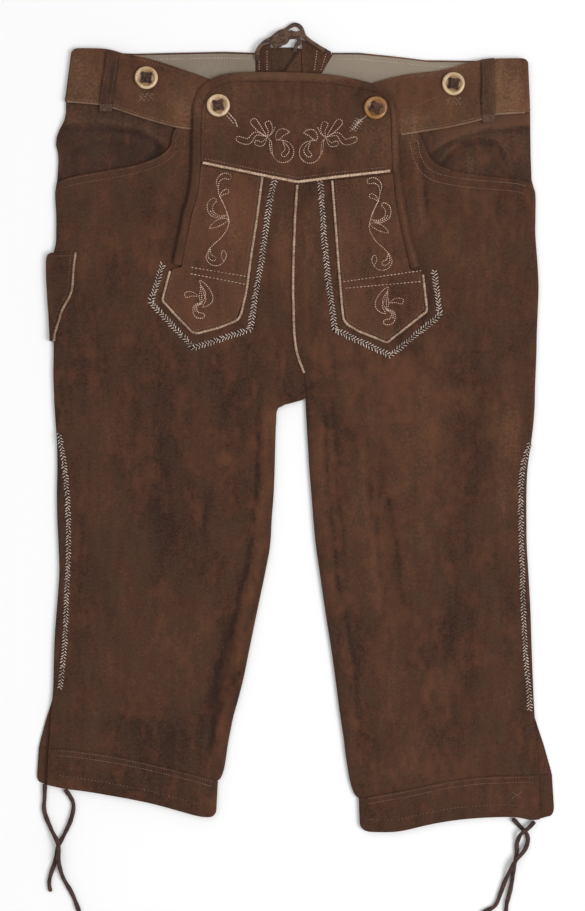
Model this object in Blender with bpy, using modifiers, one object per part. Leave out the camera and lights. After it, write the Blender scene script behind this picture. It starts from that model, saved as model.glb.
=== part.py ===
"""Knee-length lederhosen with a drop front, laid flat on their back panels.

X runs to the wearer's left, Y up to the waist, Z up from the surface they lie on.
Sizes are in millimetres and are turned into metres where a mesh is made.
"""
import math
from collections import namedtuple

import bmesh
import bpy

MM = 0.001
TOP = "lederhosen"

# ---- layers, heights above the surface ---------------------------------------
LEATHER = 1.6          # wall of the suede panels
SEAM_GAP = 0.3         # air between pieces that are sewn together
TRIM_GAP = 0.45        # air below what lies across the climb of the flap
CUFF_GAP = 0.7         # air between a leg and its cuff
BINDING_GAP = 0.5      # air between the binding and what it edges
BACK_TOP = LEATHER
UNDER_BOTTOM = BACK_TOP + SEAM_GAP            # underlaps and pocket facings
UNDER_TOP = UNDER_BOTTOM + LEATHER
FRONT_BOTTOM = UNDER_TOP + SEAM_GAP           # front legs and hips
FRONT_TOP = FRONT_BOTTOM + LEATHER
SEAM_Z = 2.7           # height of the side and inside leg seams
TURN = 3.5             # how far in from a seam the panel turns flat
TURN_WALL = 1.4        # width of the wall's edge at a seam
BAND_WALL = 2.5
BACK_BAND_WALL = 2.2
BAND_BOTTOM = FRONT_BOTTOM
BAND_TOP = BAND_BOTTOM + BAND_WALL
LINING_BOTTOM = BACK_BAND_WALL + SEAM_GAP
LINING_WALL = 1.0
FLAP_RISE = 2.8        # the flap climbs this far over the waistband
FLAP_TOP = FRONT_TOP + FLAP_RISE
CUFF_WALL = 2.2
STRIP_WALL = 1.2
LOOP_WALL = 1.6
BINDING_WIDTH = 9.0
BINDING_HEIGHT = 3.0
BINDING_STEP = 13.0
PIPING_RADIUS = 1.3
PIPING_STEP = 11.0
POCKET_WALL = 1.6

# ---- flap slit ---------------------------------------------------------------
SLIT_Y = 168.0         # the slits beside the flap end here
RAMP_END_Y = 212.0     # above this the flap lies at its full height
RIGHT_SLIT_X = -116.0
LEFT_SLIT_X = 118.5
TUCK = 6.0             # the hip runs this far in below the binding

# ---- buttons and loops -------------------------------------------------------
BUTTON_RADIUS = 11.5
BUTTON_HEIGHT = 3.9
DISH_RADIUS = 7.0
DISH_FLOOR = 1.8
RIM_INNER = 8.8
RIM_OUTER = 10.2
BUTTON_FOOT = 8.0
THONG_SIDE = 8.6
THONG_HEIGHT = 1.6
LOOP_WIDTH = 13.0
LOOP_EDGE = 0.35       # how far a belt loop thins along its sides

# ---- cords -------------------------------------------------------------------
TIE_RADIUS = 1.9
LACE_RADIUS = 1.8

Hip = namedtuple("Hip", "y right_side left_side centre")
HIPS = (
    Hip(345.0, -229.8, 234.5, 1.5),
    Hip(335.0, -231.8, 235.0, 1.5),
    Hip(305.0, -237.5, 235.2, 1.5),
    Hip(281.0, -239.3, 235.6, 1.5),
    Hip(257.0, -239.0, 236.5, 1.5),
    Hip(245.0, -240.5, 240.3, 1.2),
    Hip(221.0, -239.7, 240.5, -0.4),
    Hip(206.0, -240.5, 240.2, -1.0),
    Hip(192.0, -242.5, 241.0, -1.6),
    Hip(180.0, -244.0, 242.0, -2.0),
    Hip(SLIT_Y, -244.2, 242.8, -2.2),
)

# A row for each section across a leg, from the slit end down to the cuff seam.
Leg = namedtuple("Leg", "side_x side_y inner_x inner_y")
RIGHT_LEG = (
    Leg(-244.2, SLIT_Y, -2.2, SLIT_Y),
    Leg(-244.0, 150.0, -2.5, 150.0),
    Leg(-243.3, 128.0, -2.0, 128.0),
    Leg(-242.3, 104.0, -1.2, 104.0),
    Leg(-242.3, 84.0, 1.5, 84.0),
    Leg(-242.6, 64.0, 8.6, 64.0),
    Leg(-242.2, 50.0, 9.6, 50.0),
    Leg(-241.8, 39.0, 10.0, 39.0),
    Leg(-241.6, 34.5, -2.0, 34.5),
    Leg(-241.3, 29.0, -17.0, 29.0),
    Leg(-240.3, 14.0, -19.2, 14.0),
    Leg(-239.0, -6.0, -20.0, -6.0),
    Leg(-238.5, -30.0, -20.6, -30.0),
    Leg(-239.0, -56.0, -21.6, -56.0),
    Leg(-238.6, -82.0, -23.6, -82.0),
    Leg(-237.4, -108.0, -25.2, -108.0),
    Leg(-236.6, -134.0, -29.8, -134.0),
    Leg(-238.0, -158.0, -35.2, -160.0),
    Leg(-239.9, -182.0, -40.6, -186.0),
    Leg(-241.5, -206.0, -46.3, -214.0),
    Leg(-242.2, -230.0, -52.4, -244.0),
    Leg(-242.8, -252.0, -59.8, -272.0),
    Leg(-244.6, -272.0, -66.9, -296.0),
    Leg(-246.0, -291.0, -72.0, -320.0),
    Leg(-247.2, -311.0, -77.0, -343.7),
)
LEFT_LEG = (
    Leg(242.8, SLIT_Y, -2.2, SLIT_Y),
    Leg(243.5, 150.0, -2.5, 150.0),
    Leg(242.8, 128.0, -2.0, 128.0),
    Leg(241.8, 104.0, -1.2, 104.0),
    Leg(241.4, 84.0, 1.5, 84.0),
    Leg(240.6, 64.0, 8.6, 64.0),
    Leg(240.0, 50.0, 9.6, 50.0),
    Leg(239.8, 39.0, 10.0, 39.0),
    Leg(239.7, 34.5, 10.0, 34.5),
    Leg(239.5, 29.0, 10.1, 29.0),
    Leg(238.4, 14.0, 10.9, 14.0),
    Leg(236.0, -6.0, 12.1, -6.0),
    Leg(232.6, -30.0, 13.5, -30.0),
    Leg(231.4, -56.0, 15.6, -56.0),
    Leg(231.4, -82.0, 17.7, -82.0),
    Leg(231.7, -108.0, 20.1, -108.0),
    Leg(233.2, -134.0, 23.8, -134.0),
    Leg(234.7, -160.0, 27.7, -161.0),
    Leg(235.8, -186.0, 31.9, -189.0),
    Leg(236.6, -212.0, 36.3, -217.0),
    Leg(237.6, -238.0, 40.4, -247.0),
    Leg(238.7, -264.0, 44.3, -277.0),
    Leg(240.2, -290.0, 48.9, -306.0),
    Leg(241.1, -302.0, 51.8, -320.5),
    Leg(241.9, -314.0, 55.3, -335.0),
    Leg(243.3, -337.5, 63.3, -361.5),
)

# The lap of the back panel that shows beside each knee vent.
Vent = namedtuple("Vent", "start_y length lap")
RIGHT_VENT = Vent(-262.0, 45.0, 10.6)
LEFT_VENT = Vent(-286.0, 60.0, 14.0)

# Seam and hem of each cuff, from the vent to the inside leg.
RIGHT_CUFF_SEAM = ((-259.0, -310.0), (-247.0, -311.3), (-220.5, -313.0), (-175.5, -320.0), (-125.5, -331.0),
                   (-77.0, -344.0))
RIGHT_HEM = ((-259.5, -345.0), (-235.5, -351.0), (-195.5, -357.0), (-145.5, -366.5), (-100.5, -378.3),
             (-88.5, -380.0), (-82.0, -375.5))
LEFT_CUFF_SEAM = ((63.0, -361.5), (112.3, -352.5), (155.5, -343.5), (190.0, -339.5), (243.5, -337.8),
                  (259.5, -337.0))
LEFT_HEM = ((66.5, -389.7), (74.3, -394.5), (91.5, -395.0), (107.0, -394.0), (138.0, -387.0),
            (166.0, -382.7), (197.0, -380.5), (221.0, -380.5), (238.5, -383.3), (259.5, -378.4))

# Largest folds of the front panels: a soft ridge (or a trough, if negative) on a line.
Fold = namedtuple("Fold", "x0 y0 x1 y1 width height")
FOLDS = (
    Fold(-33.0, 50.0, -38.0, -30.0, 13.0, 1.5),
    Fold(-62.0, 62.0, -66.0, -60.0, 16.0, -1.3),
    Fold(-105.0, 70.0, -98.0, -40.0, 22.0, 1.2),
    Fold(-150.0, 60.0, -128.0, -150.0, 24.0, -1.0),
    Fold(-172.0, -90.0, -150.0, -250.0, 26.0, 1.4),
    Fold(-205.0, 40.0, -200.0, -180.0, 22.0, 1.0),
    Fold(-92.0, -120.0, -112.0, -270.0, 20.0, 1.2),
    Fold(-64.0, -170.0, -88.0, -300.0, 12.0, -1.3),
    Fold(28.0, 62.0, 86.0, 4.0, 13.0, 1.4),
    Fold(36.0, 20.0, 66.0, -70.0, 14.0, -1.2),
    Fold(52.0, -20.0, 70.0, -170.0, 14.0, 1.5),
    Fold(88.0, -10.0, 98.0, -180.0, 18.0, -1.2),
    Fold(128.0, 50.0, 132.0, -120.0, 24.0, 1.2),
    Fold(180.0, 40.0, 172.0, -150.0, 24.0, -1.0),
    Fold(208.0, 70.0, 206.0, -90.0, 18.0, 1.2),
    Fold(96.0, -190.0, 110.0, -310.0, 18.0, 1.3),
    Fold(150.0, -170.0, 152.0, -300.0, 22.0, -1.1),
    Fold(196.0, -170.0, 204.0, -300.0, 20.0, 1.2),
)
FOLD_LIMIT = 1.6       # no fold takes the front further than this from its level
FOLDS_FULL_Y = 62.0
FOLDS_START_Y = 96.0   # nothing folds above this, where the trim lies

# Outer line of the flap's binding, from the right slit over the top to the left slit.
FLAP_OUTLINE = ((-123.5, 173.5), (-118.2, 198.0), (-113.0, 223.6), (-107.5, 243.0), (-104.3, 261.0),
                (-103.2, 282.0), (-103.0, 303.0), (-101.8, 328.0), (-96.5, 345.0), (-87.0, 355.4),
                (-74.5, 361.7), (-57.7, 364.3), (-28.5, 365.0), (3.4, 364.3), (35.0, 362.2), (56.0, 358.6),
                (77.0, 353.3), (89.5, 348.0), (98.0, 339.7), (102.3, 324.0), (103.3, 303.0),
                (104.4, 271.3), (108.5, 240.0), (117.0, 198.0), (124.6, 171.0))
YOKE = ((-95.0, 274.4), (-64.0, 268.0), (-34.5, 261.8), (2.0, 254.8), (34.9, 259.0), (65.0, 262.5),
        (97.0, 266.0))

# Edges of the embroidered strips, from the yoke down, and their pointed lower ends.
RIGHT_STRIP_INNER = ((-34.8, 259.3), (-41.0, 212.8), (-45.5, 184.6), (-50.8, 145.6), (-56.2, 122.8),
                     (-59.5, 117.8))
RIGHT_STRIP_OUTER = ((-123.5, 167.6), (-131.5, 137.3))
RIGHT_STRIP_POINT = ((-59.5, 117.8), (-78.0, 110.5), (-100.7, 104.8), (-117.0, 121.0), (-131.5, 137.3))
LEFT_STRIP_INNER = ((35.9, 256.0), (39.2, 212.8), (42.4, 169.4), (46.1, 128.2), (47.5, 120.0),
                    (48.9, 115.2))
LEFT_STRIP_OUTER = ((125.5, 164.8), (130.0, 127.0))
LEFT_STRIP_POINT = ((48.9, 115.2), (63.0, 107.6), (91.2, 96.4), (110.0, 111.0), (130.0, 127.0))

# Front waistband, from the side seam to the centre.
RIGHT_BAND_LOW = ((-231.2, 336.0), (-197.0, 333.0), (-182.6, 329.5), (-150.5, 319.0), (-123.7, 311.6),
                  (-104.0, 308.4), (-60.0, 303.0), (1.35, 300.0))
RIGHT_BAND_HIGH = ((-224.3, 389.0), (-193.5, 388.2), (-173.7, 383.0), (-150.5, 378.6), (-123.7, 370.6),
                   (-102.5, 363.4), (-60.0, 350.0), (1.35, 345.0))
LEFT_BAND_LOW = ((1.65, 300.0), (60.0, 300.5), (105.5, 303.0), (126.0, 306.0), (154.5, 310.7),
                 (186.5, 318.0), (200.5, 323.0), (235.0, 325.0))
LEFT_BAND_HIGH = ((1.65, 345.0), (60.0, 350.0), (107.5, 361.5), (150.5, 367.0), (175.0, 373.7),
                  (186.5, 376.5), (201.5, 378.4), (233.0, 379.0))
RIGHT_BACK_HIGH = ((-224.3, 387.0), (-165.0, 384.0), (-124.5, 385.0), (-72.5, 386.0), (-39.8, 385.0))
LEFT_BACK_HIGH = ((36.8, 385.0), (64.5, 385.0), (99.5, 381.5), (133.5, 377.5), (182.5, 377.0), (233.0, 378.0))
BACK_BAND_LOW_Y = 341.0

# Upper edge of the hips: the pocket mouth, then the seam to the waistband.
RIGHT_MOUTH = ((-239.0, 256.3), (-230.0, 261.6), (-195.0, 266.0), (-159.5, 272.4), (-136.0, 281.3),
               (-125.5, 291.0), (-119.5, 309.0), (-97.2, 306.4))
LEFT_MOUTH = ((237.0, 251.4), (220.0, 255.0), (182.5, 258.0), (154.4, 261.0), (137.5, 266.5),
              (130.0, 276.0), (126.2, 296.6), (119.5, 304.2), (97.4, 301.9))

NOTCH_RIGHT = ((-39.5, 359.0), (-39.5, 385.0), (-33.5, 392.0), (-25.0, 395.0), (-25.0, 359.0))
NOTCH_LEFT = ((8.8, 359.0), (8.8, 395.0), (20.5, 393.0), (35.6, 384.0), (21.5, 359.0))
GUSSET = ((-39.2, 341.0), (11.5, 341.0), (20.5, 357.0), (16.0, 388.0), (-4.0, 390.5), (-26.0, 390.0),
          (-39.2, 372.0))

# Knife pocket on the right side seam: its outer edge and its piped front edge.
Pocket = namedtuple("Pocket", "y outer_x front_x")
KNIFE_POCKET = (
    Pocket(184.0, -249.5, -222.2),
    Pocket(170.0, -248.6, -223.0),
    Pocket(156.0, -247.6, -223.9),
    Pocket(146.0, -247.0, -225.0),
    Pocket(137.0, -246.4, -229.6),
    Pocket(126.0, -245.6, -234.5),
    Pocket(116.0, -245.0, -238.3),
    Pocket(103.0, -244.3, -240.6),
)

Button = namedtuple("Button", "name x y base colour")
BUTTONS = (
    Button("band_right", -149.0, 359.0, BAND_TOP, "horn_cream"),
    Button("flap_right", -77.0, 331.0, FLAP_TOP, "horn_cream"),
    Button("flap_left", 80.0, 328.6, FLAP_TOP, "horn_amber"),
    Button("band_left", 157.8, 353.0, BAND_TOP, "horn_cream"),
)

BeltLoop = namedtuple("BeltLoop", "name top_x top_y low_x low_y")
BELT_LOOPS = (
    BeltLoop("right", -182.5, 389.6, -189.0, 325.5),
    BeltLoop("left", 193.0, 380.5, 193.5, 315.0),
)

# Cord routes, x y z, chosen by hand.
TIES = {
    "tie_right_outer": ((-251.0, -347.7, 2.6), (-251.4, -361.0, 2.1), (-251.6, -375.0, 2.0),
                        (-245.1, -391.7, 3.2), (-238.6, -404.0, 6.2), (-236.6, -413.0, 6.4),
                        (-237.0, -424.0, 6.2), (-233.0, -440.9, 2.6), (-223.8, -457.6, 2.1),
                        (-217.3, -474.0, 2.1), (-214.5, -483.0, 2.1)),
    "tie_right_inner": ((-230.6, -353.0, 3.0), (-223.6, -364.0, 2.1), (-222.6, -373.0, 2.0),
                        (-226.0, -386.0, 2.0), (-232.6, -400.0, 2.0), (-238.2, -411.0, 2.0),
                        (-240.6, -424.5, 2.0), (-244.9, -437.2, 2.0), (-246.8, -446.5, 2.0),
                        (-245.5, -455.4, 2.0)),
    "tie_left_outer": ((239.2, -385.3, 3.0), (232.6, -391.6, 5.8), (225.4, -397.3, 6.2), (222.0, -406.5, 2.3),
                       (221.6, -416.5, 2.0), (220.4, -424.0, 2.0), (218.3, -434.9, 2.0),
                       (216.6, -447.4, 2.0), (213.7, -460.0, 2.0), (211.6, -468.3, 2.0),
                       (210.6, -481.0, 2.0)),
    "tie_left_inner": ((217.9, -382.4, 3.0), (225.2, -390.4, 2.0), (231.4, -397.2, 2.0), (232.8, -405.0, 2.0),
                       (228.9, -414.0, 4.6), (221.2, -422.6, 6.1), (215.2, -433.2, 5.6),
                       (210.6, -443.3, 2.3), (206.0, -455.8, 2.0), (200.2, -469.2, 2.0),
                       (190.0, -475.5, 2.0), (182.0, -480.5, 2.0)),
}
BACK_LACE = ((-37.5, 377.0, 5.9), (-38.6, 385.0, 5.8), (-33.0, 393.6, 5.6), (-23.5, 399.6, 3.4),
             (-16.2, 405.6, 2.1), (-10.6, 407.6, 2.0), (-5.0, 411.5, 2.0), (0.0, 413.2, 2.0),
             (4.9, 411.0, 2.0), (7.6, 405.4, 2.1), (9.6, 400.6, 3.0), (14.5, 396.0, 5.4),
             (21.7, 391.2, 5.9), (35.0, 383.6, 5.9))
BACK_LACE_LOOP = ((-22.0, 391.5, 5.9), (-14.0, 397.0, 2.6), (-5.5, 400.2, 2.0), (1.6, 400.6, 2.0),
                  (3.8, 396.5, 2.0), (0.5, 391.5, 3.9), (-0.5, 386.0, 3.9))

FINISHES = {
    "suede": ((0.115, 0.055, 0.034, 1.0), 0.92),
    "suede_dark": ((0.070, 0.032, 0.022, 1.0), 0.92),
    "suede_tan": ((0.170, 0.080, 0.045, 1.0), 0.90),
    "piping": ((0.560, 0.420, 0.270, 1.0), 0.75),
    "twill": ((0.330, 0.290, 0.210, 1.0), 0.95),
    "horn_cream": ((0.640, 0.500, 0.300, 1.0), 0.35),
    "horn_amber": ((0.300, 0.130, 0.045, 1.0), 0.35),
    "thong": ((0.050, 0.018, 0.012, 1.0), 0.80),
}


# ---- lines and surfaces ------------------------------------------------------
def blend(start, end, amount):
    """Mix two numbers or two points."""
    if isinstance(start, (int, float)):
        return start + (end - start) * amount
    return tuple(blend(a, b, amount) for a, b in zip(start, end))


def smooth(start, end, value):
    """0 before start, 1 after end, and an even S between them."""
    t = min(1.0, max(0.0, (value - start) / (end - start)))
    return t * t * (3.0 - 2.0 * t)


def at_fraction(line, fraction):
    """The point at a fraction of a line's length."""
    lengths = [math.dist(a, b) for a, b in zip(line, line[1:])]
    left = fraction * sum(lengths)
    for start, end, length in zip(line, line[1:], lengths):
        if left <= length:
            return blend(start, end, left / length)
        left -= length
    return line[-1]


def y_on(line, x):
    """Height of an outline, given as points in order along X, at x."""
    points = sorted(line)
    if x <= points[0][0]:
        return points[0][1]
    for start, end in zip(points, points[1:]):
        if x <= end[0]:
            return blend(start[1], end[1], (x - start[0]) / (end[0] - start[0]))
    return points[-1][1]


def x_at(line, y):
    """Side position of an edge, given as points in order along Y, at y."""
    return y_on([(b, a) for a, b in line], y)


def curved(line, spacing):
    """Points of a smooth curve through a line's points, about one spacing apart."""
    points = [line[0], *line, line[-1]]
    result = [line[0]]
    for before, start, end, after in zip(points, points[1:], points[2:], points[3:]):
        steps = max(1, round(math.dist(start, end) / spacing))
        for step in range(1, steps + 1):
            t = step / steps
            result.append(tuple(
                b + 0.5 * t * (c - a + t * (2 * a - 5 * b + 4 * c - d + t * (3 * (b - c) + d - a)))
                for a, b, c, d in zip(before, start, end, after)))
    return result


def beside(line, distance):
    """A line moved sideways in plan, to its left where distance is positive."""
    moved = []
    for index, (x, y) in enumerate(line):
        behind, ahead = line[max(0, index - 1)], line[min(len(line) - 1, index + 1)]
        run = math.dist(behind, ahead)
        across = (-(ahead[1] - behind[1]) / run, (ahead[0] - behind[0]) / run)
        moved.append((x + across[0] * distance, y + across[1] * distance))
    return moved


def coons(low, high, start, end, columns, rows):
    """Grid of plan points between four outline curves: rows go from low to high."""
    def cell(s, v):
        ruled = [blend(a, b, t) for a, b, t in (
            (at_fraction(low, s), at_fraction(high, s), v),
            (at_fraction(start, v), at_fraction(end, v), s))]
        corners = blend(blend(low[0], low[-1], s), blend(high[0], high[-1], s), v)
        return tuple(ruled[0][k] + ruled[1][k] - corners[k] for k in (0, 1))
    return [[cell(column, row) for column in columns] for row in rows]


def even(count, first=0.0, last=1.0):
    """Evenly spaced numbers from first to last."""
    return [blend(first, last, index / (count - 1)) for index in range(count)]


# ---- heights -----------------------------------------------------------------
def fold_height(x, y):
    """How far the folds lift the front panel at a point."""
    total = 0.0
    for fold in FOLDS:
        run_x, run_y = fold.x1 - fold.x0, fold.y1 - fold.y0
        along = ((x - fold.x0) * run_x + (y - fold.y0) * run_y) / (run_x ** 2 + run_y ** 2)
        held = min(1.0, max(0.0, along))
        gap = math.dist((x, y), (fold.x0 + held * run_x, fold.y0 + held * run_y))
        total += fold.height * math.exp(-(gap / fold.width) ** 2)
    total = FOLD_LIMIT * math.tanh(total / FOLD_LIMIT)
    return total * (1.0 - smooth(FOLDS_FULL_Y, FOLDS_START_Y, y))


def leg_top(x, y):
    """Outer surface of the front legs and hips."""
    return FRONT_TOP + fold_height(x, y)


def flap_top(x, y):
    """Outer surface of the flap's middle, which climbs over the waistband."""
    return leg_top(x, y) + FLAP_RISE * smooth(SLIT_Y, RAMP_END_Y, y)


# ---- building in Blender -----------------------------------------------------
def clear_scene():
    """Remove what the file opened with."""
    for item in list(bpy.data.objects):
        bpy.data.objects.remove(item, do_unlink=True)


def finish_of(name):
    """The Principled material of one finish."""
    if name in bpy.data.materials:
        return bpy.data.materials[name]
    colour, roughness = FINISHES[name]
    material = bpy.data.materials.new(name)
    material.use_nodes = True
    shader = material.node_tree.nodes["Principled BSDF"]
    shader.inputs["Base Color"].default_value = colour
    shader.inputs["Roughness"].default_value = roughness
    shader.inputs["Metallic"].default_value = 0.0
    return material


def place(name, data, finish):
    """Put a mesh or a curve into the part's collection under its node name."""
    data.materials.append(finish_of(finish))
    item = bpy.data.objects.new(name, data)
    bpy.data.collections[TOP].objects.link(item)
    return item


def metres(point):
    """A point in millimetres, in metres."""
    return tuple(value * MM for value in point)


def wall(name, grids, finish):
    """A wall from one or more grids of (outer, inner) point pairs, closed along its rim."""
    mesh = bmesh.new()
    pairs = {}

    def pair(points):
        key = tuple(round(value, 3) for point in points for value in point)
        if key not in pairs:
            pairs[key] = tuple(mesh.verts.new(metres(point)) for point in points)
        return pairs[key]

    for grid in grids:
        for row, below in zip(grid, grid[1:]):
            for index in range(len(row) - 1):
                corners = [pair(row[index]), pair(row[index + 1]), pair(below[index + 1]), pair(below[index])]
                mesh.faces.new([corner[0] for corner in corners])
                mesh.faces.new([corner[1] for corner in reversed(corners)])
    inner_of = {outer: inner for outer, inner in pairs.values()}
    rim = [edge for edge in mesh.edges if edge.is_boundary and edge.verts[0] in inner_of]
    for edge in rim:
        start, end = edge.verts
        mesh.faces.new((start, end, inner_of[end], inner_of[start]))
    bmesh.ops.recalc_face_normals(mesh, faces=mesh.faces)
    return finish_mesh(name, mesh, finish)


def finish_mesh(name, mesh, finish):
    """Turn a bmesh into a smooth-shaded object of the part."""
    data = bpy.data.meshes.new(name)
    mesh.to_mesh(data)
    mesh.free()
    data.shade_smooth()
    data.set_sharp_from_angle(angle=math.radians(40))
    return place(name, data, finish)


def sheet(name, plan, height, thickness, finish):
    """A flat-lying sheet: a grid of plan points at their heights, thickened downwards."""
    mesh = bmesh.new()
    rows = [[mesh.verts.new(metres((x, y, height(x, y)))) for x, y in row] for row in plan]
    for row, below in zip(rows, rows[1:]):
        for index in range(len(row) - 1):
            mesh.faces.new((row[index], row[index + 1], below[index + 1], below[index]))
    bmesh.ops.recalc_face_normals(mesh, faces=mesh.faces)
    mesh.faces.ensure_lookup_table()
    if mesh.faces[0].normal.z < 0:
        bmesh.ops.reverse_faces(mesh, faces=mesh.faces)
    item = finish_mesh(name, mesh, finish)
    solid = item.modifiers.new("thickness", 'SOLIDIFY')
    solid.thickness = thickness * MM
    solid.offset = -1.0
    solid.use_even_offset = True
    return item


def sweep(name, line, base, profile, finish):
    """A closed profile of (across, up) points carried along a plan line, with capped ends."""
    mesh = bmesh.new()
    rings = []
    for index, (x, y) in enumerate(line):
        behind, ahead = line[max(0, index - 1)], line[min(len(line) - 1, index + 1)]
        run = math.dist(behind, ahead)
        across = ((ahead[1] - behind[1]) / run, -(ahead[0] - behind[0]) / run)
        level = base(x, y)
        rings.append([mesh.verts.new(metres((x + across[0] * a, y + across[1] * a, level + up)))
                      for a, up in profile])
    for ring, following in zip(rings, rings[1:]):
        for index in range(len(profile)):
            after = (index + 1) % len(profile)
            mesh.faces.new((ring[index], ring[after], following[after], following[index]))
    mesh.faces.new(rings[0])
    mesh.faces.new(rings[-1])
    bmesh.ops.recalc_face_normals(mesh, faces=mesh.faces)
    return finish_mesh(name, mesh, finish)


def tube(name, line, radius, finish, resolution=2):
    """A round cord or piping along a line of points."""
    curve = bpy.data.curves.new(name, 'CURVE')
    curve.dimensions = '3D'
    curve.bevel_depth = radius * MM
    curve.bevel_resolution = resolution
    curve.use_fill_caps = True
    spline = curve.splines.new('POLY')
    spline.points.add(len(line) - 1)
    for knot, point in zip(spline.points, line):
        knot.co = (*metres(point), 1.0)
    return place(name, curve, finish)


# ---- panels with turned edges ------------------------------------------------
FRONT_COLUMNS = 11
BACK_COLUMNS = 5
BAND_COLUMNS = 9
TURN_STEPS = (0.0, 30.0, 60.0)     # degrees round the turn of an edge, before it lies flat


def turned_row(start, end, interior, top, bottom, start_roll, end_roll, seam_side):
    """One section across a panel, as (outer, inner) pairs from start to end in plan.

    A roll of 1 turns the edge to the seam height, and a roll of 0 leaves it flat. The
    seam_side is +1 for a front panel, whose outer face is its top, and -1 for a back one.
    """
    width = math.dist(start, end)
    flat = even(interior, TURN / width, 1.0 - TURN / width)
    seam = SEAM_Z + seam_side * SEAM_GAP / 2

    def edge(origin, towards, roll):
        found = []
        for degrees in TURN_STEPS:
            angle = math.radians(degrees)
            reach = {
                "outer": TURN * (1.0 - math.cos(angle)),
                "inner": TURN_WALL + (TURN - TURN_WALL) * (1.0 - math.cos(angle)),
                "flat": TURN * degrees / 90.0,
            }
            base = blend(origin, towards, TURN / width)
            points = []
            for face, surface in (("outer", top if seam_side > 0 else bottom),
                                  ("inner", bottom if seam_side > 0 else top)):
                plan = blend(origin, towards, blend(reach["flat"], reach[face], roll) / width)
                level = surface(*base)
                points.append((*plan, blend(level, seam + (level - seam) * math.sin(angle), roll)))
            found.append(tuple(points))
        return found

    middle = []
    for fraction in flat:
        plan = blend(start, end, fraction)
        faces = ((*plan, top(*plan)), (*plan, bottom(*plan)))
        middle.append(faces if seam_side > 0 else faces[::-1])
    return edge(start, end, start_roll) + middle + edge(end, start, end_roll)[::-1]


def vent_roll(vent, y):
    """1 where the side seam is sewn, 0 where the knee vent is open."""
    return smooth(vent.start_y - 12.0, vent.start_y + 6.0, y)


def vent_lap(vent, y):
    """How far the back panel shows past the front at a knee vent."""
    reach = min(1.0, max(0.0, (vent.start_y - y) / vent.length))
    return vent.lap * math.sin(math.pi / 2 * reach)


def crotch_roll(y):
    """0 at the centre seam, 1 along the inside of the leg."""
    return 1.0 - smooth(37.0, 60.0, y)


def leg_row(leg, side, vent, interior, seam_side, centre_gap):
    """One section across a leg, from the side seam inwards."""
    lap = vent_lap(vent, leg.side_y) if seam_side < 0 else 0.0
    outer = (leg.side_x + side * lap, leg.side_y)
    inner = (leg.inner_x + side * centre_gap, leg.inner_y)
    top, bottom = (leg_top, lambda x, y: leg_top(x, y) - LEATHER) if seam_side > 0 else (
        lambda x, y: BACK_TOP, lambda x, y: 0.0)
    return turned_row(outer, inner, interior, top, bottom,
                      vent_roll(vent, leg.side_y), crotch_roll(leg.inner_y), seam_side)


def bow_to_seam(row, seam, share):
    """Bend the last sections of a leg so that they end along the cuff's seam."""
    start, end = row[0][0], row[-1][0]
    bowed = []
    for pair in row:
        moved = []
        for x, y, z in pair:
            held = min(max(x, min(start[0], end[0])), max(start[0], end[0]))
            straight = blend(start[1], end[1], (held - start[0]) / (end[0] - start[0]))
            moved.append((x, y + share * (y_on(seam, held) + CUFF_GAP - straight), z))
        bowed.append(tuple(moved))
    return bowed


def leg_grid(legs, side, vent, seam, interior, seam_side):
    """All the sections of one leg panel, the last three bowed to the cuff.

    The cuff's seam runs straight across the back.
    """
    if seam_side < 0:
        seam = (seam[0], seam[-1])
    grid = [leg_row(leg, side, vent, interior, seam_side, SEAM_GAP / 2) for leg in legs]
    for index, share in ((-1, 1.0), (-2, 0.55), (-3, 0.2)):
        grid[index] = bow_to_seam(grid[index], seam, share)
    return grid


def hip_grid(side, shared, split, slit_x):
    """The hip: from the leg's top section, outside the slit, up to the pocket mouth."""
    mouth = RIGHT_MOUTH if side < 0 else LEFT_MOUTH
    outline = FLAP_OUTLINE[:7] if side < 0 else FLAP_OUTLINE[:-8:-1]
    hip_inner = [(x - side * TUCK, y) for x, y in outline if y > SLIT_Y]
    hip_inner = [(slit_x, SLIT_Y), *hip_inner[:-1], mouth[-1]]
    hip = [list(shared[:split + 1])]
    columns = [math.dist(pair[0][:2], shared[0][0][:2]) for pair in shared[:split + 1]]
    columns = [value / columns[-1] for value in columns]
    hips = sorted((h for h in HIPS if SLIT_Y < h.y <= 245.0), key=lambda h: h.y)
    rows = [(h.y, h.left_side if side > 0 else h.right_side) for h in hips] + [(mouth[0][1], mouth[0][0])]
    for level, (y, side_x) in enumerate(rows, start=1):
        v = level / len(rows)
        high = v ** 2
        inner = blend((x_at(hip_inner, y), y), at_fraction(hip_inner, v), high)
        row = []
        for column, s in enumerate(columns):
            plan = blend((side_x, y), inner, s)
            lift = at_fraction(mouth, s)
            straight = blend(mouth[0], mouth[-1], s)
            plan = tuple(plan[k] + high * (lift[k] - straight[k]) for k in (0, 1))
            outer, under = shared[column]
            row.append(((plan[0], plan[1], outer[2]), (plan[0] + under[0] - outer[0], plan[1], under[2])))
        hip.append(row)
    return hip[::-1]


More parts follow.
